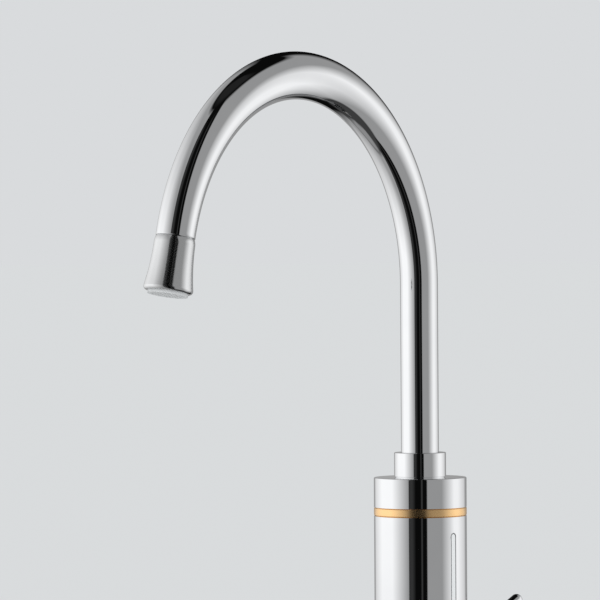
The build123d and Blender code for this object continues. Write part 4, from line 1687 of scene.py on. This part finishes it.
@dataclass(frozen=True)
class Studio:
    """Pale floor, soft light, the ring of cards that the chrome mirrors, and the camera.

    Attributes:
        image_side: Side of the photograph in pixels.
        sensor: Width of the camera's sensor.
        focal: Focal length in pixels of the photograph.
        distance: From the tap's axis to the camera.
        height: Of the camera above the worktop.
        azimuth: Of the camera round the tap, in degrees.
        yaw: Of the aim, leftwards below 0, in degrees.
        pitch: Of the aim, upwards above 0, in degrees.
        roll: Of the camera about its aim, clockwise below 0, in degrees.
        dark: Brightness between the cards.
        sun_spread: Angle that each sun seems wide, in degrees.
    """

    image_side: float = 600.0
    sensor: float = 36.0
    focal: float = 4620.3
    distance: float = 2688.7
    height: float = 279.5
    azimuth: float = -45.0
    yaw: float = -1.4765
    pitch: float = -0.7609
    roll: float = -0.363
    floor_drop: float = 0.5
    floor_radius: float = 60000.0
    floor_sides: int = 64
    tent_radius: float = 1100.0
    tent_centre: tuple[float, float, float] = (-30.0, -30.0, 290.0)
    tent_detail: int = 4
    dark: float = 0.004
    background: str = "D9DBDD"
    floor_colour: str = "D9DADA"
    sun_spread: float = 50.0
    suns: tuple[Sun, ...] = (
        Sun("key_sun", (-0.9, -0.6, 1.4), 0.9),
        Sun("fill_sun", (1.0, -0.4, 1.1), 0.35),
    )
    cards: tuple[Card, ...] = (
        # Large softbox on the left
        Card(
            Window((-166.0, -146.0, -30.5, -28.5), (-66.0, -60.0, 62.0, 66.0)),
            0.40,
            Window((-215.0, -112.0, -76.0, -10.0), (-85.0, -12.0, 8.0, 78.0)),
            1.30,
        ),
        # Large softbox on the right
        Card(
            Window((16.0, 18.5, 140.0, 162.0), (-64.0, -58.0, 58.0, 64.0)),
            0.385,
            Window((38.0, 94.0, 108.0, 200.0), (-84.0, -20.0, 14.0, 46.0)),
            1.19,
        ),
        # Two faint posts in the dark gap between them
        Card(Window((-29.0, -27.0, -21.0, -11.0), (-70.0, -60.0, 50.0, 60.0)), 0.042),
        Card(Window((1.0, 3.0, 5.0, 7.0), (-70.0, -60.0, 50.0, 60.0)), 0.045),
        # Pale strip of the room behind the tap
        Card(Window((-181.0, -180.5, -160.0, -140.0), (-32.0, -26.0, 8.0, 14.0)), 0.39),
        Card(Window((132.0, 152.0, 180.5, 181.0), (-32.0, -26.0, 8.0, 14.0)), 0.35),
        # Dim ceiling and the table below
        Card(Window((-120.0, -90.0, 50.0, 80.0), (64.0, 72.0, 91.0, 92.0)), 0.02),
        Card(Window((-181.0, -180.5, 180.5, 181.0), (-92.0, -91.0, -66.0, -60.0)), 0.06),
        Card(Window((-160.0, -130.0, -50.0, -25.0), (-88.0, -80.0, -66.0, -60.0)), 0.34),
    )

    def build(self) -> None:
        """Builds the floor, the light, the cards and the camera."""
        self.build_floor()
        self.build_light()
        self.build_cards()
        self.build_camera()

    @property
    def forward(self) -> Vector:
        """Aim of the camera.

        Returns:
            The direction that it looks in.
        """
        yaw = math.radians(self.yaw) - math.radians(self.azimuth)
        pitch = math.radians(self.pitch)
        return Vector((math.sin(yaw) * math.cos(pitch), math.cos(yaw) * math.cos(pitch), math.sin(pitch)))

    def build_camera(self) -> None:
        """Places the camera at the photograph's viewing angle."""
        data = bpy.data.cameras.new("camera")
        data.sensor_width = self.sensor
        data.lens = self.focal / self.image_side * self.sensor
        data.clip_end = 2.0 * self.floor_radius * MM
        camera = add_object("camera", data)
        angle = math.radians(self.azimuth)
        away = self.distance * MM
        camera.location = (math.sin(angle) * away, -math.cos(angle) * away, self.height * MM)
        camera.rotation_mode = "QUATERNION"
        aim = self.forward.to_track_quat("-Z", "Y")
        camera.rotation_quaternion = aim @ Quaternion(UP, math.radians(self.roll))
        bpy.context.scene.camera = camera

    def build_floor(self) -> None:
        """Lays the pale floor under the tap."""
        shape = Shape()
        bmesh.ops.create_circle(
            shape.mesh, cap_ends=True, segments=self.floor_sides, radius=self.floor_radius * MM
        )
        shape.place(Matrix.Translation((0.0, 0.0, cad_box[0].z - self.floor_drop * MM)))
        material = bpy.data.materials.new("floor_paper_matt")
        tree = empty_tree(material)
        shader = add_node(tree, "BsdfDiffuse", {"Color": linear(self.floor_colour)})
        add_node(tree, "OutputMaterial", {}, {"Surface": shader[0]})
        self.staged("floor", shape, material).visible_glossy = False

    def staged(self, name: str, shape: Shape, material: bpy.types.Material) -> bpy.types.Object:
        """Makes a shape a part of the stage.

        Args:
            name: Name of the object.
            shape: Its shape, in metres.
            material: Its material.

        Returns:
            The new object.
        """
        staged = add_object(name, shape.to_data(name))
        staged.data.materials.append(material)
        return staged

    def build_light(self) -> None:
        """Sets the pale background and the soft suns at a plain level."""
        world = bpy.data.worlds.new("studio")
        tree = empty_tree(world)
        shade = add_node(tree, "Background", {"Color": linear(self.background), "Strength": 1.0})
        add_node(tree, "OutputWorld", {}, {"Surface": shade[0]})
        bpy.context.scene.world = world
        for sun in self.suns:
            data = bpy.data.lights.new(sun.name, "SUN")
            data.energy = sun.strength
            data.angle = math.radians(self.sun_spread)
            lamp = add_object(sun.name, data)
            lamp.rotation_mode = "QUATERNION"
            lamp.rotation_quaternion = (-Vector(sun.towards)).to_track_quat("-Z", "Y")
            lamp.visible_glossy = False
        bpy.context.scene.view_settings.view_transform = "Standard"

    def build_cards(self) -> None:
        """Hangs the cards on a wide sphere that only mirrored rays see."""
        material = bpy.data.materials.new("light_cards")
        tree = empty_tree(material)
        place = add_node(tree, "TexCoord")["Object"]
        turn = {"Rotation": (0.0, 0.0, -math.radians(self.azimuth))}
        faced = add_node(tree, "Mapping", turn, {"Vector": place})[0]
        unit = add_node(tree, "VectorMath", {"operation": "NORMALIZE"}, {0: faced})[0]
        split = add_node(tree, "SeparateXYZ", {}, {0: unit})
        toward = add_node(tree, "Math", {"operation": "MULTIPLY", 1: -1.0}, {0: split[1]})[0]
        around = add_node(tree, "Math", {"operation": "ARCTAN2"}, {0: split[0], 1: toward})[0]
        above = add_node(tree, "Math", {"operation": "ARCSINE"}, {0: split[2]})[0]
        level = None
        for card in self.cards:
            level = self.add_card(tree, card, around, above, level)
        light = add_node(tree, "Emission", {}, {"Strength": level})
        add_node(tree, "OutputMaterial", {}, {"Surface": light[0]})
        material.cycles.emission_sampling = "NONE"
        shape = Shape()
        bmesh.ops.create_icosphere(
            shape.mesh, subdivisions=self.tent_detail, radius=self.tent_radius * MM
        )
        tent = self.staged("card_ring", shape, material)
        tent.location = Vector(self.tent_centre) * MM
        for ray in ("camera", "diffuse", "transmission", "volume_scatter", "shadow"):
            setattr(tent, f"visible_{ray}", False)

    def add_card(
        self, tree: Tree, card: Card, around: Socket, above: Socket, level: Socket | None
    ) -> Socket:
        """Adds one card to the brightness round the tap.

        Args:
            tree: Node tree of the card ring.
            card: Card to add.
            around: Angle round the tap, in radians.
            above: Angle above the horizon, in radians.
            level: Brightness without this card, or None for the first card.

        Returns:
            Brightness with the card.
        """
        mask = self.add_window(tree, card.window, around, above)
        if card.core is None:
            lit = add_node(tree, "Math", {"operation": "MULTIPLY", 1: card.level}, {0: mask})[0]
        else:
            core = self.add_window(tree, card.core, around, above)
            glow = add_node(tree, "Math", {"operation": "MULTIPLY", 1: card.core_level}, {0: core})[0]
            even = add_node(tree, "Math", {"operation": "MAXIMUM", 1: card.level}, {0: glow})[0]
            lit = add_node(tree, "Math", {"operation": "MULTIPLY"}, {0: mask, 1: even})[0]
        links = {0: lit} if level is None else {0: lit, 1: level}
        return add_node(tree, "Math", {"operation": "MAXIMUM", 1: self.dark}, links)[0]

    def add_window(self, tree: Tree, window: Window, around: Socket, above: Socket) -> Socket:
        """Adds the mask of a window, 1 inside it and falling off evenly at its sides.

        Args:
            tree: Node tree of the card ring.
            window: Window to add.
            around: Angle round the tap, in radians.
            above: Angle above the horizon, in radians.

        Returns:
            The mask.
        """
        mask = None
        for socket, angles in ((around, window.around), (above, window.above)):
            start, full, last, end = (math.radians(angle) for angle in angles)
            for first, second, low, high in ((start, full, 0.0, 1.0), (last, end, 1.0, 0.0)):
                share = add_node(tree, "MapRange", {1: first, 2: second, 3: low, 4: high}, {0: socket})[0]
                if mask is not None:
                    share = add_node(tree, "Math", {"operation": "MULTIPLY"}, {0: mask, 1: share})[0]
                mask = share
        return mask


def main() -> None:
    """Builds the sub-assemblies from the spout down, then the studio."""
    logging.basicConfig(level=logging.INFO, format="%(message)s")
    for assembly in (Spout(), Head(), Casing(), Lever(), Base(), Fixings(), Inside(), Studio()):
        log.info("building %s", type(assembly).__name__)
        assembly.build()


if __name__ == "__main__":
    main()
